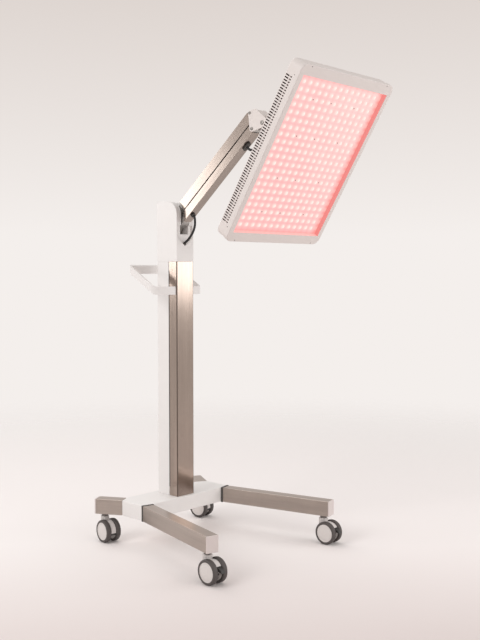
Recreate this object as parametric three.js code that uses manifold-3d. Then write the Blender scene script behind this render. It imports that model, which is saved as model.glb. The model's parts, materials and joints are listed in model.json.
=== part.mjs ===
// Mobile LED light therapy lamp: a splayed castor base, a column with a push handle, a balanced
// parallelogram arm and a tilting panel of LEDs.
// Millimetres. +Z is up and the lamp shines towards -Y. Right and left are those of someone who
// stands behind the handle, so right is -X.
import * as THREE from 'three';
import { mergeVertices } from 'three/addons/utils/BufferGeometryUtils.js';
import Module from 'manifold-3d';

const wasm = await Module();
wasm.setup();

const degree = Math.PI / 180;

// Fits
const seat_gap = 0.3;
const bore_clearance = 0.3;
const cut_overrun = 3;
const weld_overlap = 3;
const vertex_tolerance = 1e-4;

// Base
const leg_width = 40;
const leg_height = 50;
const leg_wall = 2.5;
const leg_underside = 92;
const front_leg_length = 414;
const rear_leg_length = 98;
const front_splay = 14;
const rear_splay = 30;
const crossbar_half_length = 197;
const crossbar_front_corner = -50;
const crossbar_rear_corner = 49;
const crossbar_edge_rounding = 2;
const leg_spigot_length = 36;
const collar_length = 8;
const collar_lip = 1;
const cap_thickness = 5;
const cap_plug_length = 14;
const cap_plug_wall = 4;

// Castors
const wheel_diameter = 75;
const wheel_width = 17.5;
const wheel_shoulder = 4;
const wheel_hub_radius = 29.5;
const wheel_hub_recess = 1.2;
const hood_width = 17;
const hood_radius = 33.5;
const hood_underside_share = 0.3;
const wheel_side_gap = 0.8;
const castor_trail = 22;
const castor_from_leg_end = 29;
const axle_radius = 4;
const axle_depth_share = 0.7;
const stem_radius = 5.5;
const stem_boss_radius = 12.5;
const stem_boss_drop = 22;
const stem_collar_radius = 11;
const stem_collar_above_wheel = 7.5;
const stem_grip_length = 16;
const pedal_width = 15;
const pedal_thickness = 6;
const pedal_reach = 46;
const pedal_rise = 7;
const pedal_pivot_radius = 5;
const pedal_pivot_forward = 21;
const pedal_pivot_rise = 14;
const pedal_swing_room = 2;
const front_right_swivel = -3;
const front_left_swivel = 3;
const rear_right_swivel = -7;
const rear_left_swivel = 7;

// Column
const column_half_width = 38;
const column_front = -49;
const column_rear = 49;
const column_top = 933;
const column_wall = 3;
const column_corner_radius = 3;
const column_groove = 2.5;
const cover_thickness = 2;
const cover_flange_depth = 38.5;
const cover_hook_depth = 20;
const column_spigot_height = 30;
const head_top = 1133;
const head_front_radius = 45;
const head_rear_radius = 8;
const head_slot_half_width = 18;
const head_slot_floor = 1024;
const head_slot_rear = 16;
const head_cheek_cover = 4;
const head_wall = 5;
const head_slot_floor_thickness = 12;
const head_pocket_depth = 5;
const head_pocket_margin = 5;
const head_pocket_rise = 30;
const head_pocket_side = 42;
const head_pocket_vee = 27;
const head_gland_angle = 45;
const gland_radius = 5.5;
const gland_length = 14;
const gland_proud = 6;
const gland_bore_proud = 12;

// Push handle
const handle_half_width = 108;
const handle_bar_height = 27;
const handle_bar_thickness = 6;
const handle_front_radius = 30;
const handle_rear_radius = 10;
const handle_rear_reach = 114;
const handle_rise_start = -12;
const handle_drop = 96.5;
const handle_slope_angle = 29.9;
const handle_arm_angle = 21.6;
const handle_foot_front = -44;
const handle_foot_length = 24;
const handle_foot_thickness = 4;
const screw_head_radius = 5;
const screw_head_height = 2.5;
const screw_shank_radius = 2.4;
const screw_reach = 7;

// Parallelogram arm
const arm_length = 470;
const arm_angle = 40;
const head_pivot_y = -4;
const head_pivot_z = 1084;
const pivot_spread_y = -8;
const pivot_spread_z = -49;
const pin_radius = 3.5;
const upper_eye_radius = 9;
const lower_eye_radius = 6.5;
const upper_bar_half_height = 7;
const lower_bar_half_height = 5.5;
const link_half_width = 14;
const arm_half_width = 17;
const arm_sheet = 1.5;
const upper_cover_top = 12.5;
const upper_cover_edge = -20.7;
const lower_cover_bottom = -8.5;
const lower_cover_edge = 18;
const cover_start_radius = 60;
const cover_end_gap = 1;
const saddle_half_length = 10;
const saddle_inset = 140;
const spring_radius = 9;
const spring_length = 250;
const spring_start = 110;
const spring_drop = 20;
const spring_lug_length = 12;

// Knuckle at the arm's upper end
const knuckle_plate = 4;
const knuckle_side_gap = 1;
const tilt_pin_radius = 5;
const knuckle_upper_radius = 7;
const knuckle_lower_radius = 9;
const knuckle_tilt_radius = 14;
const knuckle_corner_radius = 6;
const knuckle_corner_reach = 22;
const knuckle_corner_rise = 4;
const knuckle_nose_radius = 5;
const knuckle_nose_reach = 60;
const knuckle_nose_drop = 25;
const knuckle_web_radius = 2.5;
const knuckle_web_start_forward = 26;
const knuckle_web_start_rise = 4.8;
const knuckle_web_end_forward = 48.2;
const knuckle_web_end_drop = 13;
const tilt_pin_forward = 51;
const tilt_pin_drop = 35;
const pin_head_radius = 5;
const tilt_pin_head_radius = 6.5;
const pin_head_height = 2.5;

// Panel
const panel_lean = 57.6;
const panel_width = 424;
const panel_height = 548;
const panel_corner_radius = 22;
const panel_below_pivot = 19.4;
const panel_behind_pivot = 171;
const housing_depth = 30.4;
const housing_inset = 1.5;
const housing_wall = 1.5;
const frame_depth = 17;
const frame_wall = 2;
const frame_side_border = 18;
const frame_end_border = 31;
const vent_count = 58;
const vent_end_margin = 46.35;
const vent_width = 3.6;
const vent_margin = 3;
const vent_length = 24;
const vent_rail_depth = 15;
const vent_rail_width = 4;
const vent_rail_thickness = 3;
const board_thickness = 1.6;
const board_margin = 3;
const board_recess = 1.7;
const led_root = 0.8;
const led_rows = 21;
const led_columns = 13;
const led_end_margin = 20;
const led_side_margin = 30.8;
const led_base = 9;
const led_height = 3;
const spreader_thickness = 3;
const fin_count = 9;
const fin_height = 6;
const fin_thickness = 2;
const fin_side_margin = 26;
const post_radius = 5;
const post_height_share = 0.36;
const driver_width = 150;
const driver_height = 70;
const driver_depth = 15;
const tilt_eye_radius = 12;
const tilt_bar_half_width = 14;
const tilt_bar_half_height = 10;
const tilt_flange_width = 110;
const tilt_flange_height = 120;
const tilt_flange_thickness = 4;
const panel_gland_drop = 88;
const panel_gland_radius = 8.5;

// Cables and their grommets
const cable_diameter = 8;
const cable_arc_steps = 4;
const grommet_radius = 8;
const grommet_lip = 5;
const grommet_neck_share = 0.7;
const upper_grommet_radius = 7;
const upper_grommet_half_length = 10;
const lower_grommet_along = 92;
const upper_grommet_inset = 62;
const cable_lead = 5;
const coupling_radius = 7;
const coupling_length = 34;
const arm_cable_bend = [
  [-93, -18],
  [-92, -34],
  [-84, -52],
  [-71, -68],
  [-57, -80],
];
const panel_cable_bend = [
  [20.5, -107.7],
  [10, -110.5],
  [-10, -116.1],
  [-38, -128.6],
  [-68, -148.1],
  [-98, -168.6],
];

// Sides of round pieces
const wheel_sides = 20;
const pin_sides = 12;
const boss_sides = 16;
const small_rod_sides = 8;
const cover_arc_sides = 48;
const arc_steps = 4;
const large_arc_steps = 6;
const hood_arc_steps = 8;
const handle_arc_steps = 3;
const small_arc_steps = 2;

// Derived places
const leg_top = leg_underside + leg_height;
const handle_front_height = column_top - handle_drop;
const wheel_radius = wheel_diameter / 2;
const arm_swing = -arm_angle * degree;
const panel_swing = (90 - panel_lean) * degree;
const link_names = ['upper', 'lower'];
const head_pivots = [
  [head_pivot_y, head_pivot_z],
  [head_pivot_y + pivot_spread_y, head_pivot_z + pivot_spread_z],
];
const knuckle_y = head_pivot_y - arm_length * Math.cos(arm_swing);
const knuckle_z = head_pivot_z - arm_length * Math.sin(arm_swing);
const tilt_pivot = [knuckle_y - tilt_pin_forward, knuckle_z - tilt_pin_drop];
const knuckle_inner_half = arm_half_width + knuckle_side_gap;
const knuckle_pins = [
  ['knuckle_pin_upper', 0, 0, pin_radius, pin_head_radius],
  ['knuckle_pin_lower', pivot_spread_y, pivot_spread_z, pin_radius, pin_head_radius],
  ['tilt_pin', -tilt_pin_forward, -tilt_pin_drop, tilt_pin_radius, tilt_pin_head_radius],
];
const upper_grommet_along = arm_length - upper_grommet_inset;
const grommets = [
  ['arm_grommet_lower', lower_grommet_along, 0, grommet_radius],
  ['arm_grommet_upper', upper_grommet_along, upper_grommet_half_length, upper_grommet_radius],
];

// Materials
function finish(color, roughness, metalness) {
  return new THREE.MeshStandardMaterial({ color, roughness, metalness });
}
const white_paint = finish(0xebe6e4, 0.45, 0);
const stainless = finish(0xaa9b91, 0.35, 0.9);
const dark_rubber = finish(0x2b2726, 0.8, 0);
const black_cable = finish(0x0e0d0d, 0.6, 0);
const grey_plastic = finish(0xcdc6c3, 0.5, 0);
const tyre_rubber = finish(0x554b48, 0.75, 0);
const zinc = finish(0xa7a7a5, 0.35, 0.8);
const panel_paint = finish(0xd7d0cc, 0.45, 0);
const led_red = finish(0xffb4af, 0.4, 0);
const aluminium = finish(0xb9bbbd, 0.4, 0.8);

// Solid helpers
function solid_of(geometry) {
  const plain = geometry.clone();
  plain.deleteAttribute('normal');
  plain.deleteAttribute('uv');
  const merged = mergeVertices(plain, vertex_tolerance);
  const vertProperties = new Float32Array(merged.attributes.position.array);
  const triVerts = new Uint32Array(merged.index.array);
  return new wasm.Manifold(new wasm.Mesh({ numProp: 3, vertProperties, triVerts }));
}

function geometry_of(solid) {
  const mesh = solid.getMesh();
  const geometry = new THREE.BufferGeometry();
  geometry.setAttribute('position', new THREE.BufferAttribute(new Float32Array(mesh.vertProperties), 3));
  geometry.setIndex(new THREE.BufferAttribute(new Uint32Array(mesh.triVerts), 1));
  return geometry;
}

function join(...geometries) {
  return geometry_of(wasm.Manifold.union(geometries.map(solid_of)));
}

function cut(body, ...tools) {
  return geometry_of(solid_of(body).subtract(wasm.Manifold.union(tools.map(solid_of))));
}

// A box from its low and high corners
function block(low, high) {
  const size = high.map((value, axis) => value - low[axis]);
  const centre = high.map((value, axis) => (value + low[axis]) / 2);
  return new THREE.BoxGeometry(...size).translate(...centre);
}

// A round bar along X, centred on the plane x = 0 unless its ends are given
function cross_rod(radius, y, z, left, right, sides = pin_sides) {
  return new THREE.CylinderGeometry(radius, radius, left - right, sides)
    .rotateZ(Math.PI / 2)
    .translate((left + right) / 2, y, z);
}

// A round bar along Y between two values of y
function forward_rod(radius, x, z, front, rear, sides = pin_sides) {
  return new THREE.CylinderGeometry(radius, radius, rear - front, sides).translate(x, (front + rear) / 2, z);
}

// A round bar standing between two heights
function upright_rod(radius, x, y, bottom, top, sides = pin_sides) {
  return new THREE.CylinderGeometry(radius, radius, top - bottom, sides)
    .rotateX(Math.PI / 2)
    .translate(x, y, (bottom + top) / 2);
}

// A section drawn in x and z, run along -Y from y = start
function run_forward(shape, length, start = 0, steps = arc_steps) {
  return new THREE.ExtrudeGeometry(shape, { depth: length, bevelEnabled: false, curveSegments: steps })
    .rotateX(Math.PI / 2)
    .translate(0, start, 0);
}

// A side outline drawn as (y, z), run along X from right to left
function run_across(shape, right, left, steps = arc_steps) {
  return new THREE.ExtrudeGeometry(shape, { depth: left - right, bevelEnabled: false, curveSegments: steps })
    .applyMatrix4(new THREE.Matrix4().set(0, 0, 1, right, 1, 0, 0, 0, 0, 1, 0, 0, 0, 0, 0, 1));
}

// A plan outline drawn as (x, y), raised from one height to another
function run_up(shape, bottom, top, steps = arc_steps) {
  return new THREE.ExtrudeGeometry(shape, { depth: top - bottom, bevelEnabled: false, curveSegments: steps })
    .translate(0, 0, bottom);
}

function polygon(points) {
  return new THREE.Shape(points.map(([a, b]) => new THREE.Vector2(a, b)));
}

function rectangle(half_width, bottom, top) {
  return polygon([[-half_width, bottom], [half_width, bottom], [half_width, top], [-half_width, top]]);
}

function rounded_rectangle(half_width, bottom, top, radius) {
  const shape = new THREE.Shape();
  shape.moveTo(-half_width + radius, bottom);
  shape.lineTo(half_width - radius, bottom);
  shape.absarc(half_width - radius, bottom + radius, radius, -Math.PI / 2, 0);
  shape.lineTo(half_width, top - radius);
  shape.absarc(half_width - radius, top - radius, radius, 0, Math.PI / 2);
  shape.lineTo(-half_width + radius, top);
  shape.absarc(-half_width + radius, top - radius, radius, Math.PI / 2, Math.PI);
  shape.lineTo(-half_width, bottom + radius);
  shape.absarc(-half_width + radius, bottom + radius, radius, Math.PI, 1.5 * Math.PI);
  return shape;
}

// The outline of a plate stretched around several round bosses, each [a, b, radius]
function outline_around(bosses) {
  const rim = [];
  for (const [a, b, radius] of bosses) {
    for (let step = 0; step < boss_sides; step += 1) {
      const turn = step * 2 * Math.PI / boss_sides;
      rim.push([a + radius * Math.cos(turn), b + radius * Math.sin(turn)]);
    }
  }
  rim.sort((p, q) => p[0] - q[0] || p[1] - q[1]);
  const turns_left = (o, p, q) => (p[0] - o[0]) * (q[1] - o[1]) - (p[1] - o[1]) * (q[0] - o[0]) > 0;
  const half = (points) => {
    const chain = [];
    for (const point of points) {
      while (chain.length > 1 && !turns_left(chain.at(-2), chain.at(-1), point)) {
        chain.pop();
      }
      chain.push(point);
    }
    chain.pop();
    return chain;
  };
  return polygon([...half(rim), ...half(rim.toReversed())]);
}

function add_piece(parent, name, geometry, material) {
  const mesh = new THREE.Mesh(geometry, material);
  mesh.name = name;
  parent.add(mesh);
  return mesh;
}

function add_group(parent, name, x, y, z, turn_x = 0, turn_z = 0) {
  const group = new THREE.Group();
  group.name = name;
  group.position.set(x, y, z);
  group.rotation.set(turn_x, 0, turn_z);
  parent.add(group);
  return group;
}

const device = new THREE.Group();
const sides = [['right', -1], ['left', 1]];

// Legs: a rectangular tube on a spigot of the crossbar, closed by a cap that holds the castor stem
function leg_frame(side, is_front) {
  const splay = (is_front ? front_splay : rear_splay) * degree;
  const half = leg_width / 2;
  const corner = is_front ? crossbar_front_corner : crossbar_rear_corner;
  const forward = is_front ? -1 : 1;
  return {
    x: side * (crossbar_half_length - half * Math.cos(splay)),
    y: corner + forward * half * Math.sin(splay),
    turn: is_front ? side * splay : Math.PI - side * splay,
    length: is_front ? front_leg_length : rear_leg_length,
  };
}

function leg_section(wall) {
  const shape = rectangle(leg_width / 2, leg_underside, leg_top);
  shape.holes.push(rectangle(leg_width / 2 - wall, leg_underside + wall, leg_top - wall));
  return shape;
}

function make_leg_spigot(frame) {
  const inset = leg_wall + seat_gap;
  return block(
    [-leg_width / 2 + inset, -leg_spigot_length, leg_underside + inset],
    [leg_width / 2 - inset, weld_overlap, leg_top - inset],
  ).rotateZ(frame.turn).translate(frame.x, frame.y, 0);
}

function make_collar() {
  const shape = rectangle(leg_width / 2 + collar_lip, leg_underside - collar_lip, leg_top + collar_lip);
  shape.holes.push(rectangle(leg_width / 2 - leg_wall, leg_underside + leg_wall, leg_top - leg_wall));
  return run_forward(shape, collar_length - seat_gap, -seat_gap);
}

function make_leg_tube(start, end) {
  const tube = run_forward(leg_section(leg_wall), end - start, -start);
  const stem_place = castor_from_leg_end - end - cap_thickness;
  const stem_hole = upright_rod(stem_radius + bore_clearance, 0, stem_place,
    leg_underside - cut_overrun, leg_underside + leg_wall + cut_overrun);
  return cut(tube, stem_hole);
}

function make_leg_cap(end) {
  const inset = leg_wall + seat_gap;
  const plate = run_forward(rectangle(leg_width / 2, leg_underside, leg_top), cap_thickness - seat_gap,
    -end - seat_gap);
  const plug = run_forward(rectangle(leg_width / 2 - inset, leg_underside + inset, leg_top - inset),
    cap_plug_length, -end + cap_plug_length - seat_gap);
  const hollow = run_forward(rectangle(leg_width / 2 - inset - cap_plug_wall,
    leg_underside + inset + cap_plug_wall, leg_top - inset - cap_plug_wall),
    cap_plug_length + cut_overrun, -end + cap_plug_length + cut_overrun - seat_gap);
  return cut(join(plate, plug), hollow);
}

function add_leg(name, side, is_front) {
  const frame = leg_frame(side, is_front);
  const group = add_group(device, '', frame.x, frame.y, 0, 0, frame.turn);
  const start = is_front ? collar_length + seat_gap : seat_gap;
  const end = frame.length - cap_thickness;
  if (is_front) {
    add_piece(group, `${name}_collar`, make_collar(), dark_rubber);
  }
  add_piece(group, `${name}_tube`, make_leg_tube(start, end), stainless);
  add_piece(group, `${name}_cap`, make_leg_cap(end), white_paint);
}

// Crossbar: one welded box whose four end faces stand square to the legs, with a spigot for each
// leg and one for the column
function make_crossbar() {
  const half = crossbar_half_length;
  const cosine = (angle) => leg_width * Math.cos(angle * degree);
  const sine = (angle) => leg_width * Math.sin(angle * degree);
  const right_side = [
    [-half + cosine(rear_splay), crossbar_rear_corner + sine(rear_splay)],
    [-half, crossbar_rear_corner],
    [-half, crossbar_front_corner],
    [-half + cosine(front_splay), crossbar_front_corner - sine(front_splay)],
  ];
  const left_side = right_side.map(([x, y]) => [-x, y]).reverse();
  const rounding = crossbar_edge_rounding;
  const beam = new THREE.ExtrudeGeometry(polygon([...right_side, ...left_side]), {
    depth: leg_height - 2 * rounding,
    bevelEnabled: true,
    bevelThickness: rounding,
    bevelSize: rounding,
    bevelOffset: -rounding,
    bevelSegments: 2,
  }).translate(0, 0, leg_underside + rounding);
  const spigots = sides.flatMap(([, side]) => [true, false].map((is_front) => (
    make_leg_spigot(leg_frame(side, is_front)))));
  const inset = column_wall + seat_gap;
  const column_spigot = block(
    [-column_neck_half_width + inset, column_neck_front + inset, leg_top - weld_overlap],
    [column_neck_half_width - inset, column_rear - inset, leg_top + column_spigot_height],
  );
  return join(beam, ...spigots, column_spigot);
}

// Castors: a stem fixed in the leg, a hood that swivels on it and two wheels on one axle
const wheel_centre_y = -castor_trail;
const wheel_centre_z = wheel_radius;
const stem_collar_bottom = wheel_diameter + stem_collar_above_wheel;

function make_stem() {
  const spindle = upright_rod(stem_radius, 0, 0, stem_collar_bottom - stem_boss_drop,
    leg_underside + leg_wall + stem_grip_length);
  const collar = upright_rod(stem_collar_radius, 0, 0, stem_collar_bottom, leg_underside - seat_gap);
  return join(spindle, collar);
}

function make_hood(has_pedal) {
  const disc = new THREE.Shape();
  const flat_angle = Math.asin(hood_underside_share);
  disc.absarc(wheel_centre_y, wheel_centre_z, hood_radius, -flat_angle, Math.PI + flat_angle);
  const half = hood_width / 2;
  const shell = run_across(disc, -half, half, hood_arc_steps);
  const boss_top = stem_collar_bottom - seat_gap;
  const neck_base = block([-half, -stem_boss_radius, wheel_centre_z], [half, stem_boss_radius, boss_top]);
  const neck = upright_rod(stem_boss_radius, 0, 0, wheel_diameter + wheel_side_gap, boss_top, boss_sides);
  const axle_half = half + wheel_side_gap + wheel_width * axle_depth_share;
  const axle = cross_rod(axle_radius, wheel_centre_y, wheel_centre_z, axle_half, -axle_half, small_rod_sides);
  const bore = upright_rod(stem_radius + bore_clearance, 0, 0,
    stem_collar_bottom - stem_boss_drop - bore_clearance, boss_top + cut_overrun);
  const tools = [bore];
  if (has_pedal) {
    const pivot_y = wheel_centre_y - pedal_pivot_forward;
    const pivot_z = wheel_centre_z + pedal_pivot_rise;
    const recess_radius = pedal_pivot_radius + bore_clearance;
    tools.push(block([-hood_width, wheel_centre_y - hood_radius - cut_overrun, 0],
      [hood_width, pivot_y, pivot_z + recess_radius]));
    tools.push(block([-hood_width, wheel_centre_y - hood_radius - cut_overrun, 0],
      [hood_width, pivot_y + pedal_swing_room, pivot_z - pedal_pivot_radius + bore_clearance]));
    tools.push(cross_rod(recess_radius, pivot_y, pivot_z, hood_width, -hood_width));
  }
  return cut(join(shell, neck_base, neck, axle), ...tools);
}

function make_wheel() {
  const bore_radius = axle_radius + bore_clearance;
  const bore_depth = wheel_width * axle_depth_share + bore_clearance;
  const profile = [
    [0, bore_depth],
    [bore_radius, bore_depth],
    [bore_radius, 0],
    [wheel_radius, 0],
    [wheel_radius, wheel_width - wheel_shoulder],
    [wheel_radius - wheel_shoulder, wheel_width],
    [wheel_hub_radius, wheel_width - wheel_hub_recess],
    [0, wheel_width],
  ].map(([r, x]) => new THREE.Vector2(r, x));
  return new THREE.LatheGeometry(profile, wheel_sides);
}

function make_pedal() {
  const pivot = [-pedal_pivot_forward, pedal_pivot_rise, pedal_pivot_radius];
  const knee = [-pedal_reach + pedal_thickness, pedal_rise + pedal_thickness / 2, pedal_thickness / 2];
  const tip = [-pedal_reach, pedal_rise - pedal_thickness / 2, pedal_thickness / 4];
  const half = pedal_width / 2;
  return run_across(outline_around([pivot, knee, tip]), -half, half)
    .translate(0, wheel_centre_y, wheel_centre_z);
}

function add_castor(name, side, is_front, rest_swivel) {
  const frame = leg_frame(side, is_front);
  const along = frame.length - castor_from_leg_end;
  const x = frame.x + along * Math.sin(frame.turn);
  const y = frame.y - along * Math.cos(frame.turn);
  const group = add_group(device, `${name}_swivel`, x, y, 0, 0, rest_swivel * degree);
  add_piece(group, `${name}_stem`, make_stem(), zinc);
  add_piece(group, `${name}_hood`, make_hood(is_front), grey_plastic);
  for (const [hand, toward] of sides) {
    const wheel = make_wheel().rotateZ(-toward * Math.PI / 2).translate(
      toward * (hood_width / 2 + wheel_side_gap), wheel_centre_y, wheel_centre_z);
    add_piece(group, `${name}_${hand}_wheel`, wheel, tyre_rubber);
  }
  if (is_front) {
    add_piece(group, `${name}_brake_pedal`, make_pedal(), dark_rubber);
  }
}

// Column: a painted post with a stepped front, a stainless cover hooked over the step and a forked
// head for the arm
const cover_rear = column_front + cover_flange_depth;
const column_shoulder = cover_rear + column_groove;
const column_neck_half_width = column_half_width - cover_thickness - seat_gap;
const column_neck_front = cover_rear - cover_hook_depth;

function make_column_post() {
  const shape = new THREE.Shape();
  const half = column_half_width;
  const radius = column_corner_radius;
  shape.moveTo(-column_neck_half_width, column_neck_front);
  shape.lineTo(column_neck_half_width, column_neck_front);
  shape.lineTo(column_neck_half_width, column_shoulder);
  shape.lineTo(half, column_shoulder);
  shape.lineTo(half, column_rear - radius);
  shape.absarc(half - radius, column_rear - radius, radius, 0, Math.PI / 2);
  shape.lineTo(-half + radius, column_rear);
  shape.absarc(-half + radius, column_rear - radius, radius, Math.PI / 2, Math.PI);
  shape.lineTo(-half, column_shoulder);
  shape.lineTo(-column_neck_half_width, column_shoulder);
  const inner = column_neck_half_width - column_wall;
  shape.holes.push(polygon([
    [-inner, column_neck_front + column_wall],
    [inner, column_neck_front + column_wall],
    [inner, column_rear - column_wall],
    [-inner, column_rear - column_wall],
  ]));
  return run_up(shape, leg_top + seat_gap, column_top, small_arc_steps);
}

function make_column_cover() {
  const outer = column_half_width;
  const inner = outer - cover_thickness;
  const radius = column_corner_radius;
  const shape = new THREE.Shape();
  shape.moveTo(outer, cover_rear);
  shape.lineTo(inner, cover_rear);
  shape.lineTo(inner, column_front + cover_thickness);
  shape.lineTo(-inner, column_front + cover_thickness);
  shape.lineTo(-inner, cover_rear);
  shape.lineTo(-outer, cover_rear);
  shape.lineTo(-outer, column_front + radius);
  shape.absarc(-outer + radius, column_front + radius, radius, Math.PI, 1.5 * Math.PI);
  shape.lineTo(outer - radius, column_front);
  shape.absarc(outer - radius, column_front + radius, radius, -Math.PI / 2, 0);
  return run_up(shape, leg_top + seat_gap, column_top, small_arc_steps);
}

const head_bottom = column_top + seat_gap;
const pocket_floor = column_front + head_pocket_depth;
const pocket_top = head_slot_floor + head_pocket_rise;
const pocket_side_bottom = pocket_top - head_pocket_side;
const pocket_tip = pocket_side_bottom - head_pocket_vee;
const head_gland_z = pocket_tip + gland_radius;

function make_column_head() {
  const profile = new THREE.Shape();
  profile.moveTo(column_front, head_bottom);
  profile.lineTo(column_rear, head_bottom);
  profile.lineTo(column_rear, head_top - head_rear_radius);
  profile.absarc(column_rear - head_rear_radius, head_top - head_rear_radius, head_rear_radius,
    0, Math.PI / 2);
  profile.lineTo(column_front + head_front_radius, head_top);
  profile.absarc(column_front + head_front_radius, head_top - head_front_radius, head_front_radius,
    Math.PI / 2, Math.PI);
  const body = run_across(profile, -column_half_width, column_half_width, large_arc_steps);
  const inset = column_wall + seat_gap;
  const spigot = block(
    [-column_neck_half_width + inset, column_neck_front + inset, head_bottom - column_spigot_height],
    [column_neck_half_width - inset, column_rear - inset, head_bottom + weld_overlap],
  );
  const hollow_inset = inset + head_wall;
  const hollow = block(
    [-column_neck_half_width + hollow_inset, column_neck_front + hollow_inset,
      head_bottom - column_spigot_height - cut_overrun],
    [column_neck_half_width - hollow_inset, column_rear - hollow_inset,
      head_slot_floor - head_slot_floor_thickness],
  );
  const slot = block([-head_slot_half_width, column_front - cut_overrun, head_slot_floor],
    [head_slot_half_width, head_slot_rear, head_top + cut_overrun]);
  const pocket_half = column_half_width - head_pocket_margin;
  const pocket = run_forward(polygon([
    [-pocket_half, pocket_top],
    [-pocket_half, pocket_side_bottom],
    [0, pocket_tip],
    [pocket_half, pocket_side_bottom],
    [pocket_half, pocket_top],
  ]), head_pocket_depth + cut_overrun, pocket_floor);
  const pin_reach = column_half_width - head_cheek_cover;
  const pin_bores = head_pivots.map(([y, z]) => (
    cross_rod(pin_radius + bore_clearance, y, z, pin_reach + bore_clearance, -pin_reach - bore_clearance)));
  const gland_bore = make_head_gland(gland_radius + bore_clearance, gland_length + bore_clearance,
    gland_bore_proud);
  return cut(join(body, spigot), hollow, slot, pocket, ...pin_bores, gland_bore);
}

// The gland leans forward and up out of the point of the pocket
function make_head_gland(radius, depth, proud) {
  return forward_rod(radius, 0, 0, -proud, depth, small_rod_sides)
    .rotateX(-head_gland_angle * degree)
    .translate(0, pocket_floor, head_gland_z);
}

// Push handle: one flat bar bent round the back of the column. It starts as a foot on each side of
// the column, runs level round the front corners and rises to the rear.
const handle_foot_inner = column_half_width + seat_gap;
const handle_foot_outer = handle_foot_inner + handle_foot_thickness;

function make_handle() {
  const bar = handle_bar_thickness;
  const lean = handle_arm_angle * degree;
  const turn = Math.PI / 2 - lean;
  const front = handle_front_radius;
  const front_x = handle_half_width - front;
  const arm_run = front_x - handle_foot_outer;
  const front_y = handle_foot_front + (front + arm_run * Math.sin(lean)) / Math.cos(lean);
  const rear = handle_rear_radius;
  const rear_x = handle_half_width - rear;
  const rear_y = handle_rear_reach - rear;
  const arm_rear = handle_foot_front + bar / Math.cos(lean);
  const foot_rear = handle_foot_front + handle_foot_length;
  const plan = new THREE.Shape();
  plan.moveTo(handle_foot_inner, foot_rear);
  plan.lineTo(handle_foot_inner, handle_foot_front);
  plan.lineTo(handle_foot_outer, handle_foot_front);
  plan.absarc(front_x, front_y, front, -turn, 0);
  plan.absarc(rear_x, rear_y, rear, 0, Math.PI / 2);
  plan.absarc(-rear_x, rear_y, rear, Math.PI / 2, Math.PI);
  plan.absarc(-front_x, front_y, front, Math.PI, Math.PI + turn);
  plan.lineTo(-handle_foot_outer, handle_foot_front);
  plan.lineTo(-handle_foot_inner, handle_foot_front);
  plan.lineTo(-handle_foot_inner, foot_rear);
  plan.lineTo(-handle_foot_outer, foot_rear);
  plan.lineTo(-handle_foot_outer, arm_rear);
  plan.absarc(-front_x, front_y, front - bar, Math.PI + turn, Math.PI, true);
  plan.absarc(-rear_x, rear_y, rear - bar, Math.PI, Math.PI / 2, true);
  plan.absarc(rear_x, rear_y, rear - bar, Math.PI / 2, 0, true);
  plan.absarc(front_x, front_y, front - bar, 0, -turn, true);
  plan.lineTo(handle_foot_outer, arm_rear);
  plan.lineTo(handle_foot_outer, foot_rear);
  const loop = run_up(plan, -handle_bar_height / 2, handle_bar_height / 2, handle_arc_steps);
  const points = loop.attributes.position;
  for (let index = 0; index < points.count; index += 1) {
    const behind = Math.max(0, points.getY(index) - handle_rise_start);
    points.setZ(index, points.getZ(index) + behind * Math.tan(handle_slope_angle * degree));
  }
  return loop.translate(0, 0, handle_front_height);
}

const handle_screw_y = handle_foot_front + handle_foot_length - screw_head_radius - seat_gap;

function make_handle_screw(side, radius, proud) {
  const ends = [side * (column_half_width - screw_reach), side * (handle_foot_outer + proud)];
  return cross_rod(radius, handle_screw_y, handle_front_height, Math.max(...ends), Math.min(...ends));
}

function add_column() {
  add_piece(device, 'base_crossbar', make_crossbar(), white_paint);
  const shanks = sides.map(([, side]) => (
    make_handle_screw(side, screw_shank_radius + bore_clearance, cut_overrun)));
  add_piece(device, 'column_post', cut(make_column_post(), ...shanks), white_paint);
  add_piece(device, 'column_cover', cut(make_column_cover(), ...shanks), stainless);
  add_piece(device, 'column_head', make_column_head(), white_paint);
  add_piece(device, 'head_cable_gland', make_head_gland(gland_radius, gland_length, gland_proud),
    dark_rubber);
  add_piece(device, 'push_handle', cut(make_handle(), ...shanks), stainless);
  for (const [hand, side] of sides) {
    const shank = make_handle_screw(side, screw_shank_radius, seat_gap + screw_head_height / 2);
    const head_seat = handle_foot_outer + seat_gap;
    const ends = [side * head_seat, side * (head_seat + screw_head_height)];
    const head = cross_rod(screw_head_radius, handle_screw_y, handle_front_height,
      Math.max(...ends), Math.min(...ends));
    add_piece(device, `handle_screw_${hand}`, join(shank, head), zinc);
  }
  for (const [index, [y, z]] of head_pivots.entries()) {
    const reach = column_half_width - head_cheek_cover;
    const pin = cross_rod(pin_radius, y, z, reach, -reach);
    add_piece(device, `head_pivot_pin_${link_names[index]}`, pin, zinc);
  }
}

// Arm: two parallel links, each under its own stainless cover, with the balance spring between them
function link_bar(bar_half_height, eye_radius, far_eye_half, ...extras) {
  const near_eye_half = head_slot_half_width - seat_gap;
  const bar = block([-link_half_width, -arm_length, -bar_half_height],
    [link_half_width, 0, bar_half_height]);
  const near_eye = cross_rod(eye_radius, 0, 0, near_eye_half, -near_eye_half, boss_sides);
  const far_eye = cross_rod(eye_radius, -arm_length, 0, far_eye_half, -far_eye_half, boss_sides);
  const bore_half = arm_half_width + cut_overrun;
  const bores = [0, -arm_length].map((y) => (
    cross_rod(pin_radius + bore_clearance, y, 0, bore_half, -bore_half)));
  return cut(join(bar, near_eye, far_eye, ...extras), ...bores);
}

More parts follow.
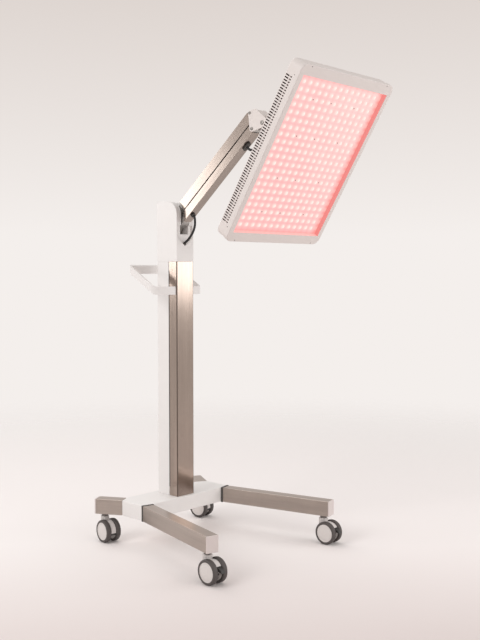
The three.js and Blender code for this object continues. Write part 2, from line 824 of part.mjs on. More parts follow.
// Blocks on a link that carry the web of its cover
function make_saddles(web, sheet_side) {
  const seat = web - sheet_side * (arm_sheet + seat_gap);
  return [saddle_inset, arm_length - saddle_inset].map((along) => block(
    [-link_half_width, -along - saddle_half_length, Math.min(seat, 0)],
    [link_half_width, -along + saddle_half_length, Math.max(seat, 0)],
  ));
}

function channel_section(half_width, web, edge, sheet) {
  const inward = Math.sign(edge - web) * sheet;
  return polygon([
    [-half_width, edge],
    [-half_width, web],
    [half_width, web],
    [half_width, edge],
    [half_width - sheet, edge],
    [half_width - sheet, web + inward],
    [-half_width + sheet, web + inward],
    [-half_width + sheet, edge],
  ]);
}

// Both covers start on one arc about the upper head pivot, which lies at (y, z) in their own frame
function arm_cover(web, edge, eye_radius, arc_y, arc_z) {
  const end = arm_length - eye_radius - cover_end_gap;
  const channel = run_forward(channel_section(arm_half_width, web, edge, arm_sheet), end);
  const arc = cross_rod(cover_start_radius, arc_y, arc_z, arm_half_width + cut_overrun,
    -arm_half_width - cut_overrun, cover_arc_sides);
  return cut(channel, arc);
}

function make_spring_lug(near) {
  return block([-spring_radius, near - spring_lug_length, -spring_drop - spring_radius],
    [spring_radius, near, 0]);
}

function add_upper_link() {
  const group = add_group(device, 'upper_link_pivot', 0, ...head_pivots[0], arm_swing);
  const lugs = [
    make_spring_lug(-spring_start + seat_gap + spring_lug_length),
    make_spring_lug(-spring_start - spring_length - seat_gap),
  ];
  add_piece(group, 'upper_link_bar', link_bar(upper_bar_half_height, upper_eye_radius,
    knuckle_inner_half - seat_gap, ...lugs, ...make_saddles(upper_cover_top, 1)), zinc);
  add_piece(group, 'balance_spring', forward_rod(spring_radius, 0, -spring_drop,
    -spring_start - spring_length, -spring_start), zinc);
  add_piece(group, 'upper_arm_cover', arm_cover(upper_cover_top, upper_cover_edge, upper_eye_radius, 0, 0),
    stainless);
}

// A cable bush in the lower cover: a neck through the sheet and a lip under it
function grommet_disc(along, half_length, radius, bottom, top) {
  const bosses = [[0, -along - half_length, radius], [0, -along + half_length, radius]];
  return run_up(outline_around(bosses), bottom, top);
}

function make_grommet(along, half_length, radius) {
  const lip_top = lower_cover_bottom - seat_gap;
  const neck = grommet_disc(along, half_length, radius * grommet_neck_share, lip_top - seat_gap,
    lower_cover_bottom + arm_sheet);
  return join(neck, grommet_disc(along, half_length, radius, lip_top - grommet_lip, lip_top));
}

function add_lower_link() {
  const group = add_group(device, 'lower_link_pivot', 0, ...head_pivots[1], arm_swing);
  add_piece(group, 'lower_link_bar', link_bar(lower_bar_half_height, lower_eye_radius,
    knuckle_inner_half - seat_gap, ...make_saddles(lower_cover_bottom, -1)), zinc);
  const cosine = Math.cos(arm_swing);
  const sine = Math.sin(arm_swing);
  const arc_y = -pivot_spread_y * cosine - pivot_spread_z * sine;
  const arc_z = pivot_spread_y * sine - pivot_spread_z * cosine;
  const cover = arm_cover(lower_cover_bottom, lower_cover_edge, lower_eye_radius, arc_y, arc_z);
  const holes = grommets.map(([, along, half_length, radius]) => (
    grommet_disc(along, half_length, radius * grommet_neck_share + bore_clearance,
      lower_cover_bottom - cut_overrun, lower_cover_bottom + arm_sheet + cut_overrun)));
  add_piece(group, 'lower_arm_cover', cut(cover, ...holes), stainless);
  for (const [name, ...place] of grommets) {
    add_piece(group, name, make_grommet(...place), dark_rubber);
  }
}

// Knuckle: two plates bridged by a sloping web; it keeps its attitude as the arm swings
function make_knuckle_bracket() {
  const outline = [
    [0, 0, knuckle_upper_radius],
    [-knuckle_corner_reach, knuckle_corner_rise, knuckle_corner_radius],
    [-knuckle_nose_reach, -knuckle_nose_drop, knuckle_nose_radius],
    [-tilt_pin_forward, -tilt_pin_drop, knuckle_tilt_radius],
    [pivot_spread_y, pivot_spread_z, knuckle_lower_radius],
  ];
  const outer = knuckle_inner_half + knuckle_plate;
  const plates = sides.map(([, side]) => {
    const ends = [side * knuckle_inner_half, side * outer];
    return run_across(outline_around(outline), Math.min(...ends), Math.max(...ends));
  });
  const web_outline = [
    [-knuckle_web_start_forward, knuckle_web_start_rise, knuckle_web_radius],
    [-knuckle_web_end_forward, -knuckle_web_end_drop, knuckle_web_radius],
  ];
  const web_half = knuckle_inner_half + knuckle_plate / 2;
  const web = run_across(outline_around(web_outline), -web_half, web_half);
  const bores = knuckle_pins.map(([, y, z, radius]) => (
    cross_rod(radius + bore_clearance, y, z, outer + cut_overrun, -outer - cut_overrun)));
  return cut(join(...plates, web), ...bores);
}

function make_knuckle_pin(y, z, radius, head_radius) {
  const plate_face = knuckle_inner_half + knuckle_plate + seat_gap;
  const shank = cross_rod(radius, y, z, plate_face + pin_head_height / 2, -plate_face - pin_head_height / 2);
  const heads = sides.map(([, side]) => {
    const ends = [side * plate_face, side * (plate_face + pin_head_height)];
    return cross_rod(head_radius, y, z, Math.max(...ends), Math.min(...ends));
  });
  return join(shank, ...heads);
}

function add_knuckle() {
  const group = add_group(device, 'knuckle_pivot', 0, knuckle_y, knuckle_z);
  add_piece(group, 'knuckle_bracket', make_knuckle_bracket(), panel_paint);
  for (const [name, ...pin] of knuckle_pins) {
    add_piece(group, name, make_knuckle_pin(...pin), zinc);
  }
}

// Panel: its own frame has the tilt pin at the origin and the light leaving towards -Y
const panel_back = -panel_behind_pivot;
const panel_bottom = -panel_below_pivot - panel_height / 2;
const panel_top = panel_bottom + panel_height;
const panel_half_width = panel_width / 2;
const housing_front = panel_back - housing_depth;
const frame_back = housing_front - seat_gap;
const window_half = panel_half_width - frame_side_border;
const window_bottom = panel_bottom + frame_end_border;
const window_top = panel_top - frame_end_border;
const led_row_pitch = (window_top - window_bottom - 2 * led_end_margin) / (led_rows - 1);
const led_column_pitch = 2 * (window_half - led_side_margin) / (led_columns - 1);
const fin_pitch = 2 * (window_half - fin_side_margin) / (fin_count - 1);
const vent_pitch = (panel_height - 2 * vent_end_margin) / vent_count;
const board_front = frame_back - board_recess + seat_gap;
const board_back = board_front + board_thickness;
const spreader_front = board_back + seat_gap;
const spreader_back = spreader_front + spreader_thickness;
const back_wall_inside = panel_back - housing_wall;

function panel_outline(inset) {
  return rounded_rectangle(panel_half_width - inset, panel_bottom + inset, panel_top - inset,
    panel_corner_radius - inset);
}

function make_panel_housing() {
  const shell = run_forward(panel_outline(housing_inset), housing_depth, panel_back);
  const inside = run_forward(panel_outline(housing_inset + housing_wall), housing_depth, back_wall_inside);
  const slots = Array.from({ length: vent_count }, (_, index) => {
    const z = -panel_below_pivot + (index - (vent_count - 1) / 2) * vent_pitch;
    return block([-panel_half_width, panel_back - vent_margin - vent_length, z - vent_width / 2],
      [panel_half_width, panel_back - vent_margin, z + vent_width / 2]);
  });
  const gland_hole = forward_rod(gland_radius + bore_clearance, 0, -panel_gland_drop,
    back_wall_inside - cut_overrun, panel_back + cut_overrun);
  return cut(shell, inside, ...slots, gland_hole);
}

// A rail close behind the slots of one side wall splits them into two rows
function make_vent_rail(side) {
  const outer = panel_half_width - housing_inset - housing_wall - seat_gap;
  const ends = [side * outer, side * (outer - vent_rail_thickness)];
  const half_length = vent_count * vent_pitch / 2;
  return block(
    [Math.min(...ends), panel_back - vent_rail_depth - vent_rail_width, -panel_below_pivot - half_length],
    [Math.max(...ends), panel_back - vent_rail_depth, -panel_below_pivot + half_length],
  );
}

function make_panel_frame() {
  const ring = run_forward(panel_outline(0), frame_depth, frame_back);
  const window = run_forward(rectangle(window_half, window_bottom, window_top),
    frame_depth + 2 * cut_overrun, frame_back + cut_overrun);
  const channel_shape = panel_outline(frame_wall);
  channel_shape.holes.push(rectangle(window_half + frame_wall, window_bottom - frame_wall,
    window_top + frame_wall));
  const channel = run_forward(channel_shape, frame_depth - frame_wall + cut_overrun,
    frame_back + cut_overrun);
  const seat_margin = board_margin + seat_gap;
  const board_seat = run_forward(rectangle(window_half + seat_margin, window_bottom - seat_margin,
    window_top + seat_margin), board_recess + cut_overrun, frame_back + cut_overrun);
  return cut(ring, window, channel, board_seat);
}

// The board carries a grid of square emitters, each tapering to a point
function make_led_board() {
  const board = block([-window_half - board_margin, board_front, window_bottom - board_margin],
    [window_half + board_margin, board_back, window_top + board_margin]);
  const emitters = [];
  for (let row = 0; row < led_rows; row += 1) {
    for (let column = 0; column < led_columns; column += 1) {
      const x = (column - (led_columns - 1) / 2) * led_column_pitch;
      const z = -panel_below_pivot + (row - (led_rows - 1) / 2) * led_row_pitch;
      emitters.push(new THREE.ConeGeometry(led_base / Math.SQRT2, led_height + led_root, 4)
        .rotateX(Math.PI)
        .rotateY(Math.PI / 4)
        .translate(x, board_front + (led_root - led_height) / 2, z));
    }
  }
  return join(board, ...emitters);
}

function make_heat_spreader() {
  const plate = block([-window_half, spreader_front, window_bottom],
    [window_half, spreader_back, window_top]);
  const fins = Array.from({ length: fin_count }, (_, index) => {
    const x = (index - (fin_count - 1) / 2) * fin_pitch;
    return block([x - fin_thickness / 2, spreader_front, window_bottom],
      [x + fin_thickness / 2, spreader_back + fin_height, window_top]);
  });
  const post_x = fin_pitch * (fin_count - 2) / 2;
  const post_z = panel_height * post_height_share;
  const posts = [[-post_x, -post_z], [-post_x, post_z], [post_x, -post_z], [post_x, post_z]].map(([x, z]) => (
    forward_rod(post_radius, x, z - panel_below_pivot, spreader_front, back_wall_inside - seat_gap,
      small_rod_sides)));
  return join(plate, ...fins, ...posts);
}

function make_tilt_bracket() {
  const eye_half = knuckle_inner_half - seat_gap;
  const flange_back = panel_back + seat_gap + tilt_flange_thickness;
  const eye = cross_rod(tilt_eye_radius, 0, 0, eye_half, -eye_half, boss_sides);
  const bar = block([-tilt_bar_half_width, flange_back - weld_overlap, -tilt_bar_half_height],
    [tilt_bar_half_width, 0, tilt_bar_half_height]);
  const flange = block([-tilt_flange_width / 2, panel_back + seat_gap, -tilt_flange_height / 2],
    [tilt_flange_width / 2, flange_back, tilt_flange_height / 2]);
  const bore_half = eye_half + cut_overrun;
  const bore = cross_rod(tilt_pin_radius + bore_clearance, 0, 0, bore_half, -bore_half);
  return cut(join(eye, bar, flange), bore);
}

function make_panel_gland() {
  const body = forward_rod(panel_gland_radius, 0, -panel_gland_drop, panel_back + seat_gap,
    panel_back + seat_gap + gland_length, small_rod_sides);
  const stub = forward_rod(gland_radius, 0, -panel_gland_drop, back_wall_inside,
    panel_back + gland_length / 2, small_rod_sides);
  return join(body, stub);
}

function add_panel() {
  const group = add_group(device, 'tilt_pivot', 0, ...tilt_pivot, panel_swing);
  add_piece(group, 'tilt_bracket', make_tilt_bracket(), white_paint);
  add_piece(group, 'panel_housing', make_panel_housing(), panel_paint);
  add_piece(group, 'panel_frame', make_panel_frame(), panel_paint);
  add_piece(group, 'led_board', make_led_board(), led_red);
  add_piece(group, 'heat_spreader', make_heat_spreader(), aluminium);
  add_piece(group, 'led_driver', block([-driver_width / 2, back_wall_inside - seat_gap - driver_depth,
    -panel_below_pivot - driver_height / 2],
    [driver_width / 2, back_wall_inside - seat_gap, -panel_below_pivot + driver_height / 2]), dark_rubber);
  add_piece(group, 'panel_cable_gland', make_panel_gland(), dark_rubber);
  for (const [hand, side] of sides) {
    add_piece(group, `vent_rail_${hand}`, make_vent_rail(side), panel_paint);
  }
}

// Cables: free stretches between bushes and glands, as (y, z) points in the plane x = 0. Each runs
// straight for a short lead at both ends, and bends about a pivot of the arm in between
function placed(origin, turn, y, z) {
  return [
    origin[0] + y * Math.cos(turn) - z * Math.sin(turn),
    origin[1] + y * Math.sin(turn) + z * Math.cos(turn),
  ];
}

function grommet_exit(along, lead) {
  const drop = lower_cover_bottom - 2 * seat_gap - grommet_lip - lead;
  return placed(head_pivots[1], arm_swing, -along, drop);
}

function head_gland_exit(lead) {
  return placed([pocket_floor, head_gland_z], -head_gland_angle * degree, -gland_proud - seat_gap - lead, 0);
}

function panel_gland_exit(lead) {
  return placed(tilt_pivot, panel_swing, panel_back + 2 * seat_gap + gland_length + lead, -panel_gland_drop);
}

const arm_cable_middle = arm_cable_bend.map(([y, z]) => placed(head_pivots[0], 0, y, z));
const panel_cable_middle = panel_cable_bend.map(([y, z]) => placed([knuckle_y, knuckle_z], 0, y, z));
const arm_cable_route = [
  grommet_exit(lower_grommet_along, 0),
  grommet_exit(lower_grommet_along, cable_lead),
  ...arm_cable_middle,
  head_gland_exit(cable_lead),
  head_gland_exit(0),
];
const panel_cable_route = [
  grommet_exit(upper_grommet_along, 0),
  grommet_exit(upper_grommet_along, cable_lead),
  ...panel_cable_middle,
  panel_gland_exit(cable_lead),
  panel_gland_exit(0),
];
const coupling_span = panel_cable_middle.slice(2, 4);

function make_cable(route) {
  const curve = new THREE.CatmullRomCurve3(route.map(([y, z]) => new THREE.Vector3(0, y, z)));
  const section = new THREE.Shape();
  section.absarc(0, 0, cable_diameter / 2, 0, 2 * Math.PI);
  return new THREE.ExtrudeGeometry(section, {
    steps: Math.ceil(curve.getLength() / (2 * cable_diameter)),
    extrudePath: curve,
    bevelEnabled: false,
    curveSegments: cable_arc_steps,
  });
}

// An in-line coupling that covers the cable between two points of its route
function make_coupling(from, to) {
  const [y, z] = from.map((value, axis) => (value + to[axis]) / 2);
  const slope = Math.atan2(from[1] - to[1], from[0] - to[0]);
  return forward_rod(coupling_radius, 0, 0, -coupling_length / 2, coupling_length / 2, small_rod_sides)
    .rotateX(slope)
    .translate(0, y, z);
}

add_column();
for (const [hand, side] of sides) {
  add_leg(`front_leg_${hand}`, side, true);
  add_leg(`rear_leg_${hand}`, side, false);
}
add_castor('front_castor_right', -1, true, front_right_swivel);
add_castor('front_castor_left', 1, true, front_left_swivel);
add_castor('rear_castor_right', -1, false, rear_right_swivel);
add_castor('rear_castor_left', 1, false, rear_left_swivel);
add_upper_link();
add_lower_link();
add_knuckle();
add_panel();
add_piece(device, 'arm_cable', make_cable(arm_cable_route), black_cable);
add_piece(device, 'panel_cable', join(make_cable(panel_cable_route), make_coupling(...coupling_span)),
  black_cable);

// The origin is on the floor under the middle of the whole lamp
const lamp = new THREE.Group();
lamp.add(device);
const extent = new THREE.Box3().setFromObject(device, true);
device.position.set(-(extent.min.x + extent.max.x) / 2, -(extent.min.y + extent.max.y) / 2, -extent.min.z);

export default lamp;
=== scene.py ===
# A mobile light therapy lamp: a castor base with splayed legs, a column with a push handle, a
# balanced parallelogram arm and a tilting panel of LEDs. Metres, +Z is up, the light leaves
# towards -Y and the push handle is at +Y. Right is the -X side.
import json
import math

import bmesh
import bpy
from mathutils import Matrix, Vector

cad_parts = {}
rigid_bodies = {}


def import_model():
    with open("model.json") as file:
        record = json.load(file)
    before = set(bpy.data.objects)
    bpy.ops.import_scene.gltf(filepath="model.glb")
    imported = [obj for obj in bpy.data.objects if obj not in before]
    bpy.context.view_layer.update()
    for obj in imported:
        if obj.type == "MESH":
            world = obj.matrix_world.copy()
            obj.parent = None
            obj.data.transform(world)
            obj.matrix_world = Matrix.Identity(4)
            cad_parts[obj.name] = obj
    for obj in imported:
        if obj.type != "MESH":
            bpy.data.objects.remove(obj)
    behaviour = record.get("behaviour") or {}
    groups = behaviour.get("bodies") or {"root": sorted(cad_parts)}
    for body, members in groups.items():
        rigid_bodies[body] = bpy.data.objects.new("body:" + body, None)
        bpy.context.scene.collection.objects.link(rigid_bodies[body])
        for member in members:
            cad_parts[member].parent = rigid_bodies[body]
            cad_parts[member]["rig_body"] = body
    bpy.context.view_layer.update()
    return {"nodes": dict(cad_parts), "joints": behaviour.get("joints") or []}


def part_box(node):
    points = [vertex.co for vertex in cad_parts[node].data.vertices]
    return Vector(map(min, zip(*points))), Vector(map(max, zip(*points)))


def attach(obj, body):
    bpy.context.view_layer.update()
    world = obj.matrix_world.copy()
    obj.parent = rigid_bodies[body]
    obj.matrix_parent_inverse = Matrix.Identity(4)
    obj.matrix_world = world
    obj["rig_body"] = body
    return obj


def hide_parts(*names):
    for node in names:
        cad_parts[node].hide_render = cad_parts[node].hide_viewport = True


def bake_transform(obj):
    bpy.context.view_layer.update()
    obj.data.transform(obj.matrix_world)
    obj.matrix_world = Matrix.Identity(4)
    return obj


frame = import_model()
cad = frame["nodes"]

# The camera stands at chest height to the front right of the lamp and looks a little down,
# with the frame upright.
camera_place = (-2.0947, -1.9916, 0.8972)
camera_aim = Vector((0.7256, 0.6861, -0.0523))
camera_lens = 51.2

lens = bpy.data.cameras.new("camera")
lens.lens = camera_lens
camera = bpy.data.objects.new("camera", lens)
camera.location = camera_place
camera.rotation_euler = camera_aim.to_track_quat("-Z", "Y").to_euler()
bpy.context.scene.collection.objects.link(camera)
bpy.context.scene.camera = camera

# Cables: 8 mm black jacketed leads, held by a gland or a rubber bush at each end. One goes from
# the column's head up into the arm, and one from the arm to the panel, with an in-line coupling
# by which the panel is unplugged.
cable_diameter = 0.008
cable_black = (0.012, 0.011, 0.011)
arm_cable_route = [
    (0, 0.242673, 0.99495),
    (0, 0.239133, 0.99849),
    (0, 0.230123, 1.004),
    (0, 0.216123, 1.016),
    (0, 0.203123, 1.032),
    (0, 0.195123, 1.05),
    (0, 0.194123, 1.066),
    (0, 0.196373, 1.07951),
    (0, 0.199583, 1.08334),
]
lower_stretch_route = [
    (0, -0.042487, 1.28646),
    (0, -0.045697, 1.28263),
    (0, -0.052377, 1.2784),
    (0, -0.062877, 1.2756),
    (0, -0.082877, 1.27),
    (0, -0.096877, 1.26375),
]
upper_stretch_route = [
    (0, -0.096877, 1.26375),
    (0, -0.110877, 1.2575),
    (0, -0.140877, 1.238),
    (0, -0.170877, 1.2175),
    (0, -0.204597, 1.19569),
    (0, -0.208817, 1.19301),
]
coupling_profile = [
    (0, -0.017),
    (0.0046, -0.017),
    (0.0058, -0.0155),
    (0.0062, -0.011),
    (0.007, -0.0105),
    (0.007, -0.0075),
    (0.0063, -0.007),
    (0.0063, -0.0055),
    (0.007, -0.005),
    (0.007, -0.0008),
    (0.0064, -0.0004),
    (0.0064, 0.0004),
    (0.007, 0.0008),
    (0.007, 0.0105),
    (0.0062, 0.011),
    (0.0058, 0.0155),
    (0.0046, 0.017),
    (0, 0.017),
]


def add_node(tree, kind, inputs=None, **settings):
    """A shader node with its settings and with values or links on its inputs."""
    made = tree.nodes.new(kind)
    for key, value in settings.items():
        setattr(made, key, value)
    for key, value in (inputs or {}).items():
        if isinstance(value, bpy.types.NodeSocket):
            tree.links.new(value, made.inputs[key])
        else:
            made.inputs[key].default_value = value
    return made


def maths(tree, operation, *values, **settings):
    """What a Math node makes of values or links."""
    return add_node(tree, "ShaderNodeMath", dict(enumerate(values)), operation=operation,
                    **settings).outputs[0]


def ramp(tree, value, low, high, start=0, end=1, **settings):
    """A value that goes from start to end while the given one goes from low to high."""
    return add_node(tree, "ShaderNodeMapRange",
                    {"Value": value, "From Min": low, "From Max": high, "To Min": start,
                     "To Max": end}, **settings).outputs[0]


def noise(tree, place, scale, detail=2, roughness=0.5):
    """Cloudy noise at a place."""
    return add_node(tree, "ShaderNodeTexNoise",
                    {"Vector": place, "Scale": scale, "Detail": detail,
                     "Roughness": roughness}).outputs["Fac"]


def mixed(tree, share, first, second):
    """The colour between two others, by a share from 0 to 1."""
    return add_node(tree, "ShaderNodeMix", {0: share, 6: first, 7: second},
                    data_type="RGBA").outputs[2]


def new_group(name, inputs, outputs):
    """An empty shader group with named inputs and outputs."""
    group = bpy.data.node_groups.new(name, "ShaderNodeTree")
    for label, kind, value in inputs:
        socket = group.interface.new_socket(label, in_out="INPUT", socket_type=kind)
        socket.default_value = value
    for label, kind in outputs:
        group.interface.new_socket(label, in_out="OUTPUT", socket_type=kind)
    given = group.nodes.new("NodeGroupInput").outputs
    out = group.nodes.new("NodeGroupOutput").inputs
    return group, given, out


def make_moulded_grain():
    """Even grain of a moulded or sprayed skin: small tone changes, roughness changes and height."""
    group, given, out = new_group(
        "moulded_grain",
        [
            ("Vector", "NodeSocketVector", (0, 0, 0)),
            ("Color", "NodeSocketColor", (0.8, 0.8, 0.8, 1)),
            ("Tone", "NodeSocketFloat", 0.04),
            ("Scale", "NodeSocketFloat", 900),
            ("Roughness", "NodeSocketFloat", 0.45),
            ("Spread", "NodeSocketFloat", 0.1),
        ],
        [
            ("Color", "NodeSocketColor"),
            ("Roughness", "NodeSocketFloat"),
            ("Height", "NodeSocketFloat"),
        ],
    )
    cloud = noise(group, given["Vector"], 9, 3)
    fine = noise(group, given["Vector"], given["Scale"])
    depth = maths(group, "MULTIPLY", cloud, given["Tone"])
    shade = mixed(group, depth, given["Color"], (0, 0, 0, 1))
    swing = maths(group, "SUBTRACT", cloud, 0.5)
    rough = maths(group, "MULTIPLY_ADD", swing, given["Spread"], given["Roughness"])
    group.links.new(shade, out["Color"])
    group.links.new(rough, out["Roughness"])
    group.links.new(fine, out["Height"])
    return group


def make_edge_rub():
    """A mask along the edges, where handling has rubbed the finish, broken up by noise."""
    group, given, out = new_group(
        "edge_rub",
        [("Vector", "NodeSocketVector", (0, 0, 0)), ("Amount", "NodeSocketFloat", 0.3)],
        [("Mask", "NodeSocketFloat")],
    )
    bend = add_node(group, "ShaderNodeNewGeometry").outputs["Pointiness"]
    edge = ramp(group, bend, 0.52, 0.62)
    patches = noise(group, given["Vector"], 60, 4)
    broken = maths(group, "MULTIPLY", edge, patches)
    mask = maths(group, "MULTIPLY", broken, given["Amount"], use_clamp=True)
    group.links.new(mask, out["Mask"])
    return group


moulded_grain = make_moulded_grain()
edge_rub = make_edge_rub()


def new_finish(name):
    """A new material with its node tree and its main shader."""
    material = bpy.data.materials.new(name)
    material.use_nodes = True
    return material, material.node_tree, material.node_tree.nodes["Principled BSDF"]


def lay_grain(tree, shader, grain, place, rub, rubbed_color, relief, depth):
    """Feeds a grain's colour, gloss and height to the shader, and rubs the colour off the edges."""
    edge = add_node(tree, "ShaderNodeGroup", {"Vector": place, "Amount": rub}, node_tree=edge_rub)
    rubbed = mixed(tree, edge.outputs["Mask"], grain["Color"], (*rubbed_color, 1))
    bump = add_node(tree, "ShaderNodeBump", {"Strength": relief, "Distance": depth,
                                             "Height": grain["Height"]})
    tree.links.new(rubbed, shader.inputs["Base Color"])
    tree.links.new(grain["Roughness"], shader.inputs["Roughness"])
    tree.links.new(bump.outputs[0], shader.inputs["Normal"])


def moulded_finish(name, color, roughness, tone=0.05, scale=900, spread=0.12, relief=0.04,
                   rub=0.3):
    """A painted, moulded or rubber skin with grain, uneven gloss and rubbed edges."""
    material, tree, shader = new_finish(name)
    place = add_node(tree, "ShaderNodeTexCoord").outputs["Object"]
    grain = add_node(tree, "ShaderNodeGroup",
                     {"Vector": place, "Color": (*color, 1), "Tone": tone, "Scale": scale,
                      "Roughness": roughness, "Spread": spread}, node_tree=moulded_grain)
    lighter = [min(1, part * 1.2 + 0.02) for part in color]
    lay_grain(tree, shader, grain.outputs, place, rub, rubbed_color=lighter, relief=relief,
              depth=0.0004)
    return material


def make_piece(shape, name, material, body=None, smooth=35):
    """The finished bmesh as a piece of the lamp that moves with a CAD body."""
    mesh = bpy.data.meshes.new(name)
    shape.to_mesh(mesh)
    shape.free()
    mesh.shade_smooth()
    if smooth:
        mesh.set_sharp_from_angle(angle=math.radians(smooth))
    mesh.materials.append(material)
    piece = bpy.data.objects.new(name, mesh)
    bpy.context.scene.collection.objects.link(piece)
    if body:
        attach(piece, body)
    return piece


def turned(profile, place, axis, sides=40):
    """A solid turned about an axis; the profile's points are (radius, distance along the axis)."""
    shape = bmesh.new()
    rim = [shape.verts.new((radius, 0, along)) for radius, along in profile]
    for start, end in zip(rim, rim[1:]):
        shape.edges.new((start, end))
    bmesh.ops.spin(shape, geom=shape.verts[:] + shape.edges[:], cent=(0, 0, 0), axis=(0, 0, 1),
                   angle=2 * math.pi, steps=sides, use_merge=True)
    bmesh.ops.remove_doubles(shape, verts=shape.verts, dist=0.000001)
    bmesh.ops.recalc_face_normals(shape, faces=shape.faces)
    turn = Vector(axis).to_track_quat("Z", "Y").to_matrix().to_4x4()
    bmesh.ops.transform(shape, matrix=Matrix.Translation(place) @ turn, verts=shape.verts)
    return shape


def cable_tube(name, route, material):
    """A round cable on one smooth curve through the route, and the points of its centre line."""
    line = bpy.data.curves.new(name, "CURVE")
    line.dimensions = "3D"
    line.resolution_u = 10
    spline = line.splines.new("BEZIER")
    spline.bezier_points.add(len(route) - 1)
    for point, place in zip(spline.bezier_points, route):
        point.co = place
        point.handle_left_type = "AUTO"
        point.handle_right_type = "AUTO"
    guide = bpy.data.objects.new(name, line)
    bpy.context.scene.collection.objects.link(guide)
    bpy.context.view_layer.update()
    centre_line = bpy.data.meshes.new_from_object(guide)
    path = [tuple(vertex.co) for vertex in centre_line.vertices]
    line.bevel_depth = cable_diameter / 2
    line.bevel_resolution = 4
    line.use_fill_caps = True
    bpy.context.view_layer.update()
    shape = bmesh.new()
    shape.from_mesh(bpy.data.meshes.new_from_object(guide))
    bmesh.ops.remove_doubles(shape, verts=shape.verts, dist=0.00001)
    bmesh.ops.recalc_face_normals(shape, faces=shape.faces)
    bpy.data.objects.remove(guide)
    return make_piece(shape, name, material), path


cable_jacket = moulded_finish("cable_jacket", cable_black, 0.55, scale=1500, rub=0)
arm_cable, arm_cable_path = cable_tube("arm_lead", arm_cable_route, cable_jacket)
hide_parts("arm_cable")
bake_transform(arm_cable)

coupling_axis = Vector(upper_stretch_route[1]) - Vector(lower_stretch_route[-2])
coupling = make_piece(turned(coupling_profile, upper_stretch_route[0], coupling_axis),
                      "panel_lead_coupling", cable_jacket, "knuckle")
lower_stretch, lower_stretch_path = cable_tube("panel_lead_lower", lower_stretch_route,
                                               cable_jacket)
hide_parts("panel_cable")
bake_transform(lower_stretch)

upper_stretch, upper_stretch_path = cable_tube("panel_lead_upper", upper_stretch_route,
                                               cable_jacket)
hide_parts("panel_cable")
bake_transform(upper_stretch)

# Floor and light: a pale floor, painted darker towards the front as painted shade, that fades into
# a pale surround, three large soft lights from the right, the front and behind, and two smaller
# ones whose reflections lie on the steel.
floor_radius = 14
# Painted shade: the floor's colour darkens from the back colour to the front shade colour along the
# shade line.
floor_front_shade_color = (0.7, 0.612, 0.588)
floor_back_color = (0.925, 0.868, 0.848)
floor_painted_shade_line = (0.73, 0.69, 0)
floor_front_end = -0.9
floor_back_start = 0.15
floor_cloud_share = 0.15
floor_fade_start = 0.9
floor_fade_end = 3.8
surround_color = (0.905, 0.863, 0.838)
surround_top_color = (0.72, 0.655, 0.62)
surround_climb_start = 0.04
surround_climb_end = 0.3
surround_light_color = (1, 0.985, 0.975)
surround_light = 0.6
lights = [
    ("key_light", (-2.8, 0.5, 2.5), 1.9, 40),
    ("front_light", (0.6, -3.8, 1.5), 2.0, 27),
    ("rear_light", (0.6, 2.6, 3.4), 2.6, 33),
    ("arm_light", (-2.7, 3.55, 1.38), 1.1, 15),
    ("cover_light", (2.3, -2.2, 1.34), 1.25, 17),
]
light_target = Vector((0, 0, 0.8))


def vector_maths(tree, operation, *values):
    """What a Vector Math node makes of values or links, by the names of its outputs."""
    return add_node(tree, "ShaderNodeVectorMath", dict(enumerate(values)),
                    operation=operation).outputs


floor_shape = bmesh.new()
bmesh.ops.create_circle(floor_shape, cap_ends=True, radius=floor_radius, segments=96)
floor_finish, floor_tree, floor_shader = new_finish("floor_paper")
floor_shader.inputs["Roughness"].default_value = 0.7
floor_shader.inputs["Specular IOR Level"].default_value = 0.2
floor_place = add_node(floor_tree, "ShaderNodeTexCoord").outputs["Object"]
# Painted shade on the floor, darker towards the front, with a cloudy drift.
floor_cloud = noise(floor_tree, floor_place, 0.8)
floor_depth = vector_maths(floor_tree, "DOT_PRODUCT", floor_place, floor_painted_shade_line)["Value"]
floor_drift = maths(floor_tree, "MULTIPLY_ADD", floor_cloud, floor_cloud_share, floor_depth)
floor_shade_share = ramp(floor_tree, floor_drift, floor_front_end, floor_back_start)
floor_painted_shade = mixed(floor_tree, floor_shade_share, (*floor_front_shade_color, 1), (*floor_back_color, 1))
floor_tree.links.new(floor_painted_shade, floor_shader.inputs["Base Color"])
floor_distance = vector_maths(floor_tree, "LENGTH", floor_place)["Value"]
floor_fade = ramp(floor_tree, floor_distance, floor_fade_start, floor_fade_end,
                  interpolation_type="SMOOTHSTEP")
clear = add_node(floor_tree, "ShaderNodeBsdfTransparent")
floor_mix = add_node(floor_tree, "ShaderNodeMixShader",
                     {0: floor_fade, 1: floor_shader.outputs[0], 2: clear.outputs[0]})
floor_tree.links.new(floor_mix.outputs[0], floor_tree.nodes["Material Output"].inputs["Surface"])
floor = make_piece(floor_shape, "floor", floor_finish)

surround = bpy.data.worlds.new("surround")
surround.use_nodes = True
surround_tree = surround.node_tree
even_light = surround_tree.nodes["Background"]
even_light.inputs["Color"].default_value = (*surround_light_color, 1)
even_light.inputs["Strength"].default_value = surround_light
outward = add_node(surround_tree, "ShaderNodeTexCoord").outputs["Generated"]
height = add_node(surround_tree, "ShaderNodeSeparateXYZ", {"Vector": outward}).outputs["Z"]
climb = ramp(surround_tree, height, surround_climb_start, surround_climb_end)
shade = mixed(surround_tree, climb, (*surround_color, 1), (*surround_top_color, 1))
seen = add_node(surround_tree, "ShaderNodeBackground", {"Color": shade, "Strength": 1})
rays = add_node(surround_tree, "ShaderNodeLightPath").outputs
mirror_rays = maths(surround_tree, "ADD", rays["Is Glossy Ray"], rays["Is Transmission Ray"])
seen_rays = maths(surround_tree, "ADD", mirror_rays, rays["Is Camera Ray"], use_clamp=True)
surround_mix = add_node(surround_tree, "ShaderNodeMixShader",
                        {0: seen_rays, 1: even_light.outputs[0], 2: seen.outputs[0]})
surround_tree.links.new(surround_mix.outputs[0],
                        surround_tree.nodes["World Output"].inputs["Surface"])
bpy.context.scene.world = surround

